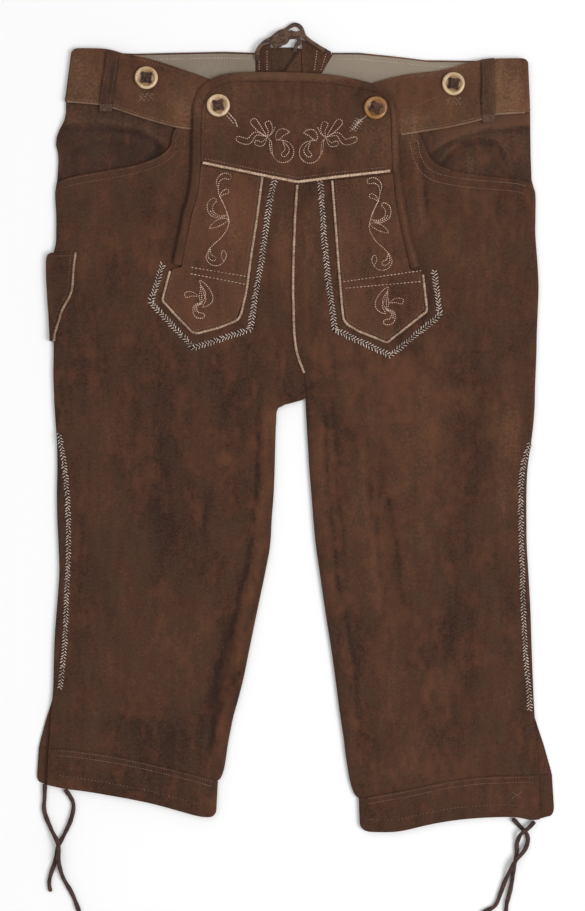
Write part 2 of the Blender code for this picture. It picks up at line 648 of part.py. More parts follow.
def flap_grid(side, shared, split, slit_x):
    """The middle of the flap: from the leg's top section, inside the slit, up to the yoke."""
    flap_edge = [point for point in inner_outline() if point[0] * side > 0]
    middle = [list(shared[split:])]
    width = [abs(pair[0][0] - slit_x) for pair in shared[split:]]
    width = [value / width[-1] for value in width]
    top_y = y_on(YOKE, side * 95.0) - SEAM_GAP / 2
    for y in (*even(8, SLIT_Y, RAMP_END_Y)[1:], 226.0, 238.0, 247.0, 255.0, top_y):
        centre = x_at([(h.centre, h.y) for h in HIPS], y) + side * SEAM_GAP / 2
        edge_x = x_at(flap_edge, y)
        row = []
        for s in width:
            x = blend(edge_x, centre, s)
            high = blend(SLIT_Y, y_on(YOKE, x) - SEAM_GAP / 2, (y - SLIT_Y) / (top_y - SLIT_Y))
            level = blend(y, high, smooth(RAMP_END_Y, top_y, y))
            row.append(((x, level, flap_top(x, level)), (x, level, flap_top(x, level) - LEATHER)))
        middle.append(row)
    return middle[::-1]


def make_front(name, side):
    """A front leg with the hip outside the slit and the middle of the flap inside it."""
    legs, vent, seam = (RIGHT_LEG, RIGHT_VENT, RIGHT_CUFF_SEAM) if side < 0 else (
        LEFT_LEG, LEFT_VENT, LEFT_CUFF_SEAM)
    slit_x = RIGHT_SLIT_X if side < 0 else LEFT_SLIT_X
    leg = leg_grid(legs, side, vent, seam, FRONT_COLUMNS, +1)
    shared = leg[0]
    split = min(range(len(shared)), key=lambda index: abs(shared[index][0][0] - slit_x))
    outer, under = shared[split]
    shared[split] = ((slit_x, *outer[1:]), (slit_x, *under[1:]))
    grids = (leg, hip_grid(side, shared, split, slit_x), flap_grid(side, shared, split, slit_x))
    return wall(name, grids, "suede")


def make_back(name, side):
    """A back panel from the waistband seam to the cuff, flat on its underside."""
    legs, vent, seam = (RIGHT_LEG, RIGHT_VENT, RIGHT_CUFF_SEAM) if side < 0 else (
        LEFT_LEG, LEFT_VENT, LEFT_CUFF_SEAM)
    hips = [Leg(h.left_side if side > 0 else h.right_side, h.y, h.centre, h.y)
            for h in HIPS if SLIT_Y < h.y < BACK_BAND_LOW_Y and h.y != 192.0]
    top = Leg(233.9 if side > 0 else -230.7, BACK_BAND_LOW_Y - SEAM_GAP, 1.5, BACK_BAND_LOW_Y - SEAM_GAP)
    sparse = [leg for index, leg in enumerate(legs) if index % 2 == 0 or 6 <= index <= 9 or index > 20]
    grid = leg_grid([top, *hips, *sparse], side, vent, seam, BACK_COLUMNS, -1)
    return wall(name, (grid,), "suede")


# ---- cuffs, bands and pockets ------------------------------------------------
def cuff_section(start, end, back_end, level, back_level):
    """One row round a cuff: front from the vent to the inside leg, then along the back."""
    top, front_low, back_high = FRONT_BOTTOM + CUFF_WALL, FRONT_BOTTOM, CUFF_WALL
    middle = top / 2
    wrap = CUFF_WALL + 1.0
    inward = 1.0 if start > end else -1.0
    row = []
    for x in even(11, start, end + inward * wrap):
        row.append(((x, level(x), top), (x, level(x), front_low)))
    for degrees in (30.0, 60.0, 90.0, 120.0, 150.0):
        angle = math.radians(degrees)
        outer_x = end + inward * wrap * (1.0 - math.sin(angle))
        inner_x = end + inward * (wrap - (wrap - CUFF_WALL) * math.sin(angle))
        inner_half = (front_low - back_high) / 2
        seam = level if degrees < 90.0 else back_level
        row.append(((outer_x, seam(outer_x), middle + middle * math.cos(angle)),
                    (inner_x, seam(inner_x), (front_low + back_high) / 2 + inner_half * math.cos(angle))))
    for x in even(9, end + inward * wrap, back_end):
        row.append(((x, back_level(x), 0.0), (x, back_level(x), back_high)))
    return row


def make_cuff(name, side):
    """A knee cuff, open at the vent, that folds round the inside of the leg."""
    seam, hem = (RIGHT_CUFF_SEAM, RIGHT_HEM) if side < 0 else (LEFT_CUFF_SEAM[::-1], LEFT_HEM[::-1])
    vent = RIGHT_VENT if side < 0 else LEFT_VENT
    legs = RIGHT_LEG if side < 0 else LEFT_LEG
    rows = []
    for share in (0.0, 0.25, 0.6, 1.0):
        seam_end, hem_end = (legs[-1].inner_x, legs[-1].inner_y), hem[-1]
        vent_x = blend(legs[-1].side_x, legs[-1].side_x + side * 1.3, share)
        lap = vent_lap(vent, blend(seam[0][1], hem[0][1], share))
        back_x = blend(legs[-1].side_x + side * lap, hem[0][0], share)

        def level(x, share=share):
            return blend(y_on(seam, x), y_on(hem, x), share)

        def back_level(x, share=share):
            return blend(y_on((seam[0], seam[-1]), x), y_on(hem, x), share)

        end_x = blend(seam_end[0], hem_end[0], share)
        rows.append(cuff_section(vent_x, end_x, back_x, level, back_level))
    return wall(name, (rows,), "suede")


def make_band(name, low, high, thickness, bottom, seam_side, side, finish):
    """A length of waistband from the side seam inwards, turned to meet the other at the side."""
    if side > 0:
        low, high = low[::-1], high[::-1]
    rows = []
    for v in even(4):
        start, end = blend(low[0], high[0], v), blend(low[-1], high[-1], v)
        width = math.dist(start, end)
        base = turned_row(start, end, BAND_COLUMNS, lambda x, y: bottom + thickness, lambda x, y: bottom,
                          1.0, 0.0, seam_side)
        row = []
        for pair in base:
            moved = []
            for x, y, z in pair:
                s = min(1.0, max(0.0, abs(x - start[0]) / width))
                straight = blend(start, end, s)[1]
                edge_low = y_on(low, blend(low[0][0], low[-1][0], s))
                edge_high = y_on(high, blend(high[0][0], high[-1][0], s))
                moved.append((x, y + blend(edge_low, edge_high, v) - straight, z))
            row.append(tuple(moved))
        rows.append(row)
    return wall(name, (rows,), finish)


def make_facing(name, side):
    """The dark pocket facing that shows above the pocket mouth."""
    mouth = RIGHT_MOUTH if side < 0 else LEFT_MOUTH
    band = RIGHT_BAND_LOW if side < 0 else LEFT_BAND_LOW
    reach = -112.0 if side < 0 else 112.0
    tuck_below, tuck_above, inset = 9.0, 4.0, 6.0
    corner = mouth[0][1] + SEAM_GAP + 0.4
    top_corner = y_on(band, side * 232.0) - SEAM_GAP - 0.3
    stations = [s for s in even(13) if s > 0.0]
    side_x = [(h.left_side if side > 0 else h.right_side, h.y) for h in HIPS]
    rows = []
    for y in [corner, *sorted(h.y for h in HIPS if corner < h.y < top_corner - 4.0), top_corner]:
        v = (y - corner) / (top_corner - corner)
        start = (x_at(side_x, y), y)
        row = turned_row(start, (reach, y), 3, lambda x, y: UNDER_TOP, lambda x, y: UNDER_BOTTOM,
                         1.0, 0.0, +1)[:3]
        for s in [TURN / 130.0, *stations]:
            x = blend(start[0], reach, s)
            sunk = smooth(0.0, inset / 130.0, s - TURN / 130.0)
            low = blend(corner, y_on(mouth[:-1], x + side * tuck_below) - tuck_below, sunk)
            high = blend(top_corner, y_on(band, x) + tuck_above, sunk)
            level = blend(low, high, v)
            row.append(((x, level, UNDER_TOP), (x, level, UNDER_BOTTOM)))
        rows.append(row)
    return wall(name, (rows,), "suede_dark")


def make_underlap(name, side):
    """The panel behind the flap, from the slit up to the waistband."""
    low_y, high_y = SLIT_Y - 12.0, 309.0
    centre = 1.5 + side * SEAM_GAP / 2
    outline = ((side * 122.0, low_y), (centre, low_y), (centre, high_y), (side * 110.0, high_y))
    return polygon_sheet(name, outline, UNDER_BOTTOM, LEATHER, "suede")


def inner_outline():
    """The line along the inner edge of the binding, just clear of it."""
    return beside(curved(FLAP_OUTLINE, BINDING_STEP), -(BINDING_WIDTH + BINDING_GAP))


def make_bib():
    """The yoke of the flap, above the V-shaped piping."""
    line = [point for point in inner_outline() if point[1] > y_on(YOKE, point[0]) + SEAM_GAP]
    corner_right = max(range(len(line)), key=lambda index: line[index][1] - line[index][0])
    corner_left = max(range(len(line)), key=lambda index: line[index][1] + line[index][0])
    start_x = x_at(line[:corner_right + 1], y_on(YOKE, line[0][0]))
    end_x = x_at(line[corner_left:], y_on(YOKE, line[-1][0]))
    low_x = [start_x, *[x for x, _ in YOKE if start_x < x < end_x], end_x]
    low = [(x, y_on(YOKE, x) + SEAM_GAP / 2) for x in low_x]
    start = [low[0], *line[:corner_right + 1]]
    end = [low[-1], *line[:corner_left - 1:-1]]
    plan = coons(low, line[corner_right:corner_left + 1], start, end, even(13), even(6))
    return sheet("bib", plan, lambda x, y: FLAP_TOP, LEATHER, "suede")


def binding_base(x, y):
    """Underside of the flap's binding: over the hip, then over the waistband."""
    return FRONT_TOP + SEAM_GAP + (BAND_TOP - FRONT_TOP) * smooth(176.0, 206.0, y)


def make_binding():
    """The rolled edge that runs up one side of the flap, over the top and down the other."""
    wide, high = BINDING_WIDTH, BINDING_HEIGHT
    profile = ((0.0, 0.9), (0.3, 2.1), (1.8, high), (wide - 2.2, high), (wide - 0.4, 2.2), (wide, 1.4),
               (wide, 0.0), (1.0, 0.0))
    return sweep("flap_binding", curved(FLAP_OUTLINE, BINDING_STEP), binding_base, profile, "suede")


def strip_edges(side):
    """Inner edge, outer edge and pointed end of an embroidered strip."""
    inner, outer, point = (RIGHT_STRIP_INNER, RIGHT_STRIP_OUTER, RIGHT_STRIP_POINT) if side < 0 else (
        LEFT_STRIP_INNER, LEFT_STRIP_OUTER, LEFT_STRIP_POINT)
    flap_edge = [p for p in inner_outline() if p[0] * side > 0]
    shoulder_y = outer[0][1] + 2.6
    ys = (262.0, 240.0, 226.0, *even(8, RAMP_END_Y, SLIT_Y)[:-1], shoulder_y)
    upper = [(x_at(flap_edge, max(y, 173.5)), y) for y in ys]
    top_y = y_on(YOKE, upper[0][0]) - 2.0 - PIPING_RADIUS
    upper[0] = (x_at(flap_edge, top_y), top_y)
    return inner, upper + [outer[0], blend(outer[0], outer[1], 0.5)], point


def make_strip(name, side):
    """An embroidered strip of the flap, with its pointed lower end."""
    inner, outer, point = strip_edges(side)
    inner_top = inner[0][1]
    rows = []
    for x_outer, y_outer in outer:
        share = (outer[0][1] - y_outer) / (outer[0][1] - point[-1][1])
        y_inner = blend(inner_top, point[0][1], share)
        rows.append([blend((x_at(inner, y_inner), y_inner), (x_outer, y_outer), s) for s in even(5)])
    rows.append([at_fraction(point, 0.0), *[point[index] for index in (1, 2, 3)], point[-1]])
    finish = "suede_tan" if side < 0 else "suede"
    return sheet(name, rows, lambda x, y: flap_top(x, y) + TRIM_GAP + STRIP_WALL, STRIP_WALL, finish)


def make_strip_piping(name, side):
    """The piping along the inner edge and the pointed end of a strip."""
    inner, outer, point = strip_edges(side)
    line = [*inner[:-1], *point, blend(point[-1], outer[-2], 0.97)]
    return piping(name, dense(beside(line, -side * (PIPING_RADIUS + SEAM_GAP)), PIPING_STEP))


def dense(line, spacing):
    """A line with points put in so that none are more than one spacing apart."""
    result = [line[0]]
    for start, end in zip(line, line[1:]):
        steps = max(1, math.ceil(math.dist(start, end) / spacing))
        result += [blend(start, end, step / steps) for step in range(1, steps + 1)]
    return result


def piping(name, line, radius=PIPING_RADIUS):
    """A piping that lies on the flap and the front."""
    return tube(name, [(x, y, flap_top(x, y) + TRIM_GAP + radius) for x, y in line], radius, "piping", 1)


def make_knife_pocket():
    """The knife pocket: a piece on the front that rolls over the side seam."""
    rows = []
    clear = FRONT_TOP + SEAM_GAP
    top = clear + POCKET_WALL
    edge_z, edge_inset, widest_turn = 0.5, 0.3, 4.0
    for pocket in KNIFE_POCKET:
        turn = min(widest_turn, (pocket.front_x - pocket.outer_x) * 0.55)
        row = [((x, pocket.y, top), (x, pocket.y, clear))
               for x in even(5, pocket.front_x, pocket.outer_x + turn)]
        for degrees in (60.0, 30.0, 0.0):
            angle = math.radians(degrees)
            outer_x = pocket.outer_x + turn * (1.0 - math.cos(angle))
            inner_x = pocket.outer_x + POCKET_WALL + (turn - POCKET_WALL) * (1.0 - math.cos(angle))
            row.append(((outer_x, pocket.y, blend(SEAM_Z, top, math.sin(angle))),
                        (inner_x, pocket.y, blend(SEAM_Z, clear, math.sin(angle)))))
        row.append(((pocket.outer_x + edge_inset, pocket.y, edge_z),
                    (pocket.outer_x + POCKET_WALL, pocket.y, edge_z)))
        rows.append(row)
    return wall("knife_pocket", (rows,), "suede")


def make_belt_loop(loop):
    """A belt loop that crosses the waistband and turns down past both its edges."""
    top = BAND_TOP + SEAM_GAP + LOOP_WALL
    drop = ((0.0, top - 2.2), (0.025, top - 0.2), (0.07, top), (0.5, top), (0.90, top), (0.955, top - 0.2),
            (1.0, top - 2.0))
    half = LOOP_WIDTH / 2
    rows = []
    for share, level in drop:
        x, y = blend((loop.top_x, loop.top_y), (loop.low_x, loop.low_y), share)
        row = []
        for s in (-1.0, -0.6, 0.6, 1.0):
            worn = LOOP_EDGE if abs(s) == 1.0 else 0.0
            row.append(((x + s * half, y, level - worn), (x + s * half, y, level - LOOP_WALL)))
        rows.append(row)
    return wall("belt_loop_" + loop.name, (rows,), "suede_dark")


def make_button(button):
    """A dished button turned in one piece, and the leather thong that holds it."""
    profile = ((0.0, DISH_FLOOR), (DISH_RADIUS, DISH_FLOOR), (RIM_INNER, BUTTON_HEIGHT),
               (RIM_OUTER, BUTTON_HEIGHT), (BUTTON_RADIUS, 2.6), (BUTTON_RADIUS - 0.6, 1.0),
               (BUTTON_FOOT, 0.0), (0.0, 0.0))
    data = bpy.data.meshes.new("button_" + button.name)
    data.from_pydata([metres((r, 0.0, z)) for r, z in profile],
                     [(index, index + 1) for index in range(len(profile) - 1)], [])
    item = place("button_" + button.name, data, button.colour)
    turn = item.modifiers.new("turn", 'SCREW')
    turn.steps = turn.render_steps = 24
    turn.use_merge_vertices = True
    turn.merge_threshold = 0.00001
    turn.use_smooth_shade = True
    item.location = metres((button.x, button.y, button.base + SEAM_GAP))

    bpy.ops.mesh.primitive_cube_add(size=1.0)
    thong = bpy.context.object
    thong.name = thong.data.name = "thong_" + button.name
    for vertex in thong.data.vertices:
        vertex.co = metres((vertex.co.x * THONG_SIDE, vertex.co.y * THONG_SIDE, vertex.co.z * THONG_HEIGHT))
    thong.data.materials.append(finish_of("thong"))
    for owner in list(thong.users_collection):
        owner.objects.unlink(thong)
    bpy.data.collections[TOP].objects.link(thong)
    bevel = thong.modifiers.new("soft edge", 'BEVEL')
    bevel.width = 0.5 * MM
    bevel.segments = 1
    thong.location = metres((button.x, button.y, button.base + 2 * SEAM_GAP + DISH_FLOOR + THONG_HEIGHT / 2))


def polygon_sheet(name, outline, bottom, thickness, finish):
    """A small flat piece cut to an outline."""
    mesh = bmesh.new()
    mesh.faces.new([mesh.verts.new(metres((x, y, bottom + thickness))) for x, y in outline])
    mesh.faces.ensure_lookup_table()
    mesh.normal_update()
    if mesh.faces[0].normal.z < 0:
        bmesh.ops.reverse_faces(mesh, faces=mesh.faces)
    item = finish_mesh(name, mesh, finish)
    solid = item.modifiers.new("thickness", 'SOLIDIFY')
    solid.thickness = thickness * MM
    solid.offset = -1.0
    return item


def make_waist():
    """Waistbands, lining, belt loops and the notch at the centre back."""
    make_band("band_front_right", RIGHT_BAND_LOW, RIGHT_BAND_HIGH, BAND_WALL, BAND_BOTTOM, +1, -1, "suede_tan")
    make_band("band_front_left", LEFT_BAND_LOW, LEFT_BAND_HIGH, BAND_WALL, BAND_BOTTOM, +1, +1, "suede_tan")
    right_low = ((-230.6, BACK_BAND_LOW_Y), (-39.8, BACK_BAND_LOW_Y))
    left_low = ((12.0, BACK_BAND_LOW_Y), (234.3, BACK_BAND_LOW_Y))
    make_band("band_back_right", right_low, RIGHT_BACK_HIGH, BACK_BAND_WALL, 0.0, -1, -1, "suede_tan")
    make_band("band_back_left", left_low, LEFT_BACK_HIGH, BACK_BAND_WALL, 0.0, -1, +1, "suede_tan")
    edge, inset = 2.0, 5.0
    for name, high, low_ends, high_ends in (
            ("lining_right", RIGHT_BACK_HIGH, (-230.6 + inset, -40.2), (-224.3 + inset, -40.2)),
            ("lining_left", LEFT_BACK_HIGH, (13.2, 234.3 - inset), (37.2, 233.0 - inset))):
        rows = [[(x, blend(BACK_BAND_LOW_Y + 1.0, y_on(high, x) - edge, v))
                 for x in even(9, blend(low_ends[0], high_ends[0], v), blend(low_ends[1], high_ends[1], v))]
                for v in even(3)]
        sheet(name, rows, lambda x, y: LINING_BOTTOM + LINING_WALL, LINING_WALL, "twill")
    for loop in BELT_LOOPS:
        make_belt_loop(loop)
    polygon_sheet("gusset", GUSSET, 0.0, LEATHER, "suede_dark")
    for name, outline in (("notch_facing_right", NOTCH_RIGHT), ("notch_facing_left", NOTCH_LEFT)):
        polygon_sheet(name, outline, UNDER_BOTTOM, LEATHER, "suede")


def make_trim():
    """Pipings of the yoke, the centre seam and the knife pocket."""
    clear = PIPING_RADIUS + SEAM_GAP
    yoke = [(-92.6, y_on(YOKE, -92.6)), *YOKE[1:-1], (94.4, y_on(YOKE, 94.4))]
    piping("piping_yoke", dense(yoke, 14.0))
    seam = [(h.centre, h.y) for h in HIPS] + [(leg.inner_x, leg.inner_y) for leg in RIGHT_LEG[1:]]
    centre = [(x, y) for x, y in seam if 64.0 <= y <= 245.0]
    piping("piping_centre", dense([(1.6, y_on(YOKE, 1.6) - 2 * clear), *centre], PIPING_STEP))
    edge = [(pocket.front_x + clear, pocket.y) for pocket in KNIFE_POCKET]
    level = FRONT_TOP + SEAM_GAP + PIPING_RADIUS
    tube("piping_knife", [(x, y, level) for x, y in edge], PIPING_RADIUS, "piping", 1)


def make_cords():
    """The back lace and the four free ends of the knee ties."""
    for name, route in TIES.items():
        tube(name, curved(route, 9.0), TIE_RADIUS, "suede_dark")
    tube("back_lace", curved(BACK_LACE, 6.0), LACE_RADIUS, "suede_dark")
    tube("back_lace_loop", curved(BACK_LACE_LOOP, 5.0), LACE_RADIUS, "suede_dark")


def main():
    """Build the lederhosen."""
    clear_scene()
    bpy.context.scene.collection.children.link(bpy.data.collections.new(TOP))
    for name, side in (("right", -1), ("left", +1)):
        make_back("back_" + name, side)
        make_front("front_" + name, side)
        make_underlap("underlap_" + name, side)
        make_facing("pocket_facing_" + name, side)
        make_cuff("cuff_" + name, side)
        make_strip("flap_strip_" + name, side)
        make_strip_piping("piping_strip_" + name, side)
    make_bib()
    make_binding()
    make_waist()
    make_trim()
    make_knife_pocket()
    for button in BUTTONS:
        make_button(button)
    make_cords()


main()
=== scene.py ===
"""The looks of a pair of knee-length suede lederhosen, laid out flat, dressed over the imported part.

X runs to the wearer's left, Y up to the waist and Z up from the surface they lie on. Lengths in
tables and dataclass fields are in millimetres, and turn into metres where a mesh is made.
"""
import logging
import math
from collections.abc import Callable, Sequence
from dataclasses import dataclass, field
from enum import Enum

import bpy
import numpy as np
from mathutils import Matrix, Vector


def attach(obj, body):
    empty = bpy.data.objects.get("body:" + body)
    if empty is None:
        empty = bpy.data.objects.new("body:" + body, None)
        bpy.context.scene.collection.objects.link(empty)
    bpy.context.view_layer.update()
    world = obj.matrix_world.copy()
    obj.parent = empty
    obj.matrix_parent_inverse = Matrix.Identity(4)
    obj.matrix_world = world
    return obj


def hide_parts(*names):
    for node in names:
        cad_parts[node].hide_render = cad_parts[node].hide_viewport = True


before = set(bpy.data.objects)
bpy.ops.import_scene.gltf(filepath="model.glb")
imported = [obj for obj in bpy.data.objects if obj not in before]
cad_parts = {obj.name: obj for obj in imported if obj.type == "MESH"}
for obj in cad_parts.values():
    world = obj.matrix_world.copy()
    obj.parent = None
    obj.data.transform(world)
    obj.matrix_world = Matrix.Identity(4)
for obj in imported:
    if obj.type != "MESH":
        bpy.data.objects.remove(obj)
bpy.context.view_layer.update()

Array = np.ndarray
Point = tuple[float, ...]
Line = Sequence[Point]
Grid = tuple[Array, Array]          # outer and inner points, rows by columns by 3
Marks = tuple[Array, Array]         # tone and warmth
Mesh = tuple[Array, list]           # vertices in millimetres, and faces
Surface = Callable[[Array, Array], Array]
WearAndShade = Callable[[Array, Array], Marks]

log = logging.getLogger("lederhosen")

MM = 0.001
BODY = "root"

# ---- layers, heights above the surface the garment lies on --------------------
LEATHER = 1.6
SEAM_GAP = 0.3
UNDER_TOP = 3.5
FRONT_TOP = 5.4
FRONT_BOTTOM = FRONT_TOP - LEATHER
SEAM_Z = 2.7
BAND_TOP = 6.3
BAND_WALL = 2.5
BACK_BAND_WALL = 2.2
LINING_TOP = 3.5
LINING_WALL = 1.0
FLAP_RISE = 2.8
FLAP_TOP = FRONT_TOP + FLAP_RISE
BIB_PUFF = 0.35            # how far the yoke swells inside its binding
CUFF_WALL = 2.2
CUFF_TOP = FRONT_BOTTOM + CUFF_WALL
STRIP_LIFT = 1.65          # top of a strip above the flap it is sewn on
STRIP_WALL = 1.2
CORNER_STEPS = np.array([0.72, 0.46, 0.24, 0.08, 0.0])
ROUNDED_EDGE = 0.4         # how far the raw edges of leather are rounded
TRIM_GAP = 0.45
PIPING_RADIUS = 1.3
POCKET_TOP = FRONT_TOP + SEAM_GAP + LEATHER
SLIT_Y = 168.0             # the slits beside the flap end here
RAMP_END_Y = 212.0         # above this the flap lies at its full height
TUCK = 6.0                 # the hip runs this far in below the binding


class Side(Enum):
    """Side of the wearer; the value is its sign along X."""

    RIGHT = -1
    LEFT = 1

    @property
    def word(self) -> str:
        """The side's word in the names of pieces."""
        return self.name.lower()


# ---- lines --------------------------------------------------------------------
def smooth(start: float, end: float, value: Array) -> Array:
    """An even S from 0 before start to 1 after end."""
    t = np.clip((np.asarray(value, float) - start) / (end - start), 0.0, 1.0)
    return t * t * (3.0 - 2.0 * t)


def curved(line: Line, spacing: float) -> Array:
    """Points of a smooth curve through a line's points.

    Args:
        line: The points, of two or more numbers each.
        spacing: The distance between the curve's points.

    Returns:
        One row for each point.
    """
    knots = np.asarray([line[0], *line, line[-1]], float)
    found = [knots[:1]]
    for a, b, c, d in zip(knots, knots[1:], knots[2:], knots[3:]):
        steps = max(1, round(float(np.linalg.norm(c - b)) / spacing))
        t = np.arange(1, steps + 1)[:, None] / steps
        found.append(b + 0.5 * t * (c - a + t * (2 * a - 5 * b + 4 * c - d + t * (3 * (b - c) + d - a))))
    return np.concatenate(found)


def run_of(points: Array) -> Array:
    """How far along a line each of its points lies."""
    return np.concatenate([[0.0], np.cumsum(np.linalg.norm(np.diff(points, axis=0), axis=1))])


def resample(line: Line, shares: Array) -> Array:
    """Points at shares, from 0 to 1, of a line's length."""
    points = np.asarray(line, float)
    run = run_of(points)
    return np.stack([np.interp(shares * run[-1], run, column) for column in points.T], axis=-1)


def length_of(line: Line) -> float:
    """Length of a line of points."""
    return float(np.linalg.norm(np.diff(np.asarray(line, float), axis=0), axis=1).sum())


def evenly(line: Line, pitch: float) -> Array:
    """Points along a line, as near to one pitch apart as its length allows."""
    return resample(line, np.linspace(0.0, 1.0, max(2, round(length_of(line) / pitch) + 1)))


def directions(points: Array) -> Array:
    """Unit directions along a line in plan."""
    along = np.gradient(np.asarray(points, float)[:, :2], axis=0)
    return along / np.linalg.norm(along, axis=1, keepdims=True)


def to_left(along: Array) -> Array:
    """The directions a quarter turn to the left of others in plan."""
    return np.stack([-along[:, 1], along[:, 0]], axis=1)


def beside(line: Line, distance: float) -> Array:
    """A line moved sideways in plan, to its left where distance is positive."""
    points = np.asarray(line, float)[:, :2]
    return points + distance * to_left(directions(points))


def points_of(*columns: Array | float) -> Array:
    """Points from their x, y and z, of which some may be the same for all."""
    return np.stack(np.broadcast_arrays(*columns), axis=-1)


def raised(plan: Array, height: Surface, up: Array | float = 0.0) -> Array:
    """Points in plan, set up above a surface."""
    return np.concatenate([plan, (height(plan[..., 0], plan[..., 1]) + up)[..., None]], axis=-1)


def kept(line: Array, near: float, far: float = math.inf) -> Array:
    """The points of a line that lie between two distances to the side of the middle."""
    aside = np.abs(line[:, 0])
    return line[(aside > near) & (aside < far)]


def y_on(line: Line, x: float | Array) -> Array:
    """Height of an outline at x."""
    points = sorted((float(p[0]), float(p[1])) for p in line)
    return np.interp(x, [p[0] for p in points], [p[1] for p in points])


def x_at(line: Line, y: float | Array) -> Array:
    """Side position of an edge at y."""
    return y_on([(p[1], p[0]) for p in line], y)


def coons(low: Line, high: Line, start: Line, end: Line, columns: int, rows: int) -> Array:
    """Grid of plan points between four outline curves.

    Args:
        low, high: The curves of the first and last row.
        start, end: The curves of the first and last column.
        columns, rows: The number of points each way.

    Returns:
        An array of rows by columns by 2.
    """
    s, v = np.linspace(0.0, 1.0, columns), np.linspace(0.0, 1.0, rows)
    under, over, near, far = resample(low, s), resample(high, s), resample(start, v), resample(end, v)
    s, v = s[None, :, None], v[:, None, None]
    ruled = (1 - v) * under + v * over + (1 - s) * near[:, None] + s * far[:, None]
    corners = (1 - v) * ((1 - s) * under[0] + s * under[-1]) + v * ((1 - s) * over[0] + s * over[-1])
    return ruled - corners


def corner_rows(corner: float, rows: int) -> list[tuple[float, float]]:
    """Rows of a panel with a round corner at its end.

    Args:
        corner: The corner's share of the panel's depth.
        rows: How many rows there are before it.

    Returns:
        Each row's share of the depth, and how far in the corner draws it, from 0 to 1.
    """
    shares = (*np.linspace(0.0, 1.0 - corner, rows), *(1.0 - corner * CORNER_STEPS))
    past = (max(0.0, 1.0 - (1.0 - share) / corner) for share in shares)
    return [(share, 1.0 - math.sqrt(1.0 - beyond ** 2)) for share, beyond in zip(shares, past)]


# ---- the garment's outlines -----------------------------------------------------
@dataclass(frozen=True)
class Vent:
    """The open slit at a knee, where the back panel shows past the front.

    Attributes:
        start_y: Where the side seam ends.
        length: How long the lap takes to reach its full width.
        lap: Its full width.
    """

    start_y: float
    length: float
    lap: float

    def roll(self, y: float) -> float:
        """1 where the side seam is sewn, 0 where the vent is open."""
        return float(smooth(self.start_y - 12.0, self.start_y + 6.0, y))

    def shown(self, y: float) -> float:
        """How far the back shows past the front."""
        return self.lap * math.sin(math.pi / 2 * min(1.0, max(0.0, (self.start_y - y) / self.length)))


@dataclass(frozen=True)
class Pattern:
    """Outlines of one side of the garment.

    Attributes:
        side: Which side of the wearer.
        leg: Sections down the leg, each (side x, side y, inner x, inner y).
        hips: Side seam above the leg, (x, y).
        vent: The knee vent.
        cuff_seam, hem: Upper and lower edge of the cuff.
        slit_x: Where the slit beside the flap ends.
        mouth: Pocket mouth, then the seam to the waistband.
        band_low, band_high: Edges of the front waistband.
        back_high: Upper edge of the back waistband.
        back_inner: Inner end of the back waistband's lower edge.
    """

    side: Side
    leg: Line
    hips: Line
    vent: Vent
    cuff_seam: Line
    hem: Line
    slit_x: float
    mouth: Line
    band_low: Line
    band_high: Line
    back_high: Line
    back_inner: float

    def node(self, stem: str) -> str:
        """Name of a solid on this side."""
        return f"{stem}_{self.side.word}"


RIGHT = Pattern(
    side=Side.RIGHT,
    leg=((-244.2, SLIT_Y, -2.2, SLIT_Y), (-244, 150, -2.5, 150), (-243.3, 128, -2, 128),
         (-242.3, 104, -1.2, 104), (-242.3, 84, 1.5, 84), (-242.6, 64, 8.6, 64),
         (-242.2, 50, 9.6, 50), (-241.8, 39, 10, 39), (-241.6, 34.5, -2, 34.5),
         (-241.3, 29, -17, 29), (-240.3, 14, -19.2, 14), (-239, -6, -20, -6),
         (-238.5, -30, -20.6, -30), (-239, -56, -21.6, -56), (-238.6, -82, -23.6, -82),
         (-237.4, -108, -25.2, -108), (-236.6, -134, -29.8, -134), (-238, -158, -35.2, -160),
         (-239.9, -182, -40.6, -186), (-241.5, -206, -46.3, -214), (-242.2, -230, -52.4, -244),
         (-242.8, -252, -59.8, -272), (-244.6, -272, -66.9, -296), (-246, -291, -71.8, -321),
         (-247.2, -311, -77.6, -343.7)),
    hips=((-229.8, 345), (-229.9, 335), (-229.9, 325), (-231.6, 317), (-236.4, 308),
          (-239.4, 300), (-240, 292), (-237.9, 285), (-237.4, 275), (-238.7, 257),
          (-240.9, 245), (-239.7, 221), (-239.7, 206), (-240.2, 193), (-242.6, 184),
          (-244.2, SLIT_Y)),
    vent=Vent(-261, 40, 10),
    cuff_seam=((-259, -310), (-247, -311.3), (-220.5, -313), (-175.5, -320), (-125.5, -331),
               (-77, -344)),
    hem=((-259.5, -345), (-235.5, -351), (-195.5, -357), (-145.5, -366.5), (-100.5, -378.6),
         (-88.5, -380.4), (-79.6, -381.4)),
    slit_x=-116,
    mouth=((-239, 254.2), (-230, 258.4), (-215, 262.2), (-195, 265.6), (-159.5, 272.4), (-136, 281.3),
           (-125.5, 291), (-119.5, 309), (-97.2, 306.4)),
    band_low=((-231.2, 336), (-197, 333), (-182.6, 329.5), (-150.5, 319), (-123.7, 311.6),
              (-104, 308.4), (-60, 303), (1.35, 300)),
    band_high=((-224.3, 389), (-193.5, 388.2), (-173.7, 383), (-150.5, 378.6), (-123.7, 370.6),
               (-102.5, 363.4), (-60, 350), (1.35, 345)),
    back_high=((-224.3, 387), (-165, 384), (-124.5, 385), (-72.5, 386), (-39.8, 385)),
    back_inner=-39.8,
)
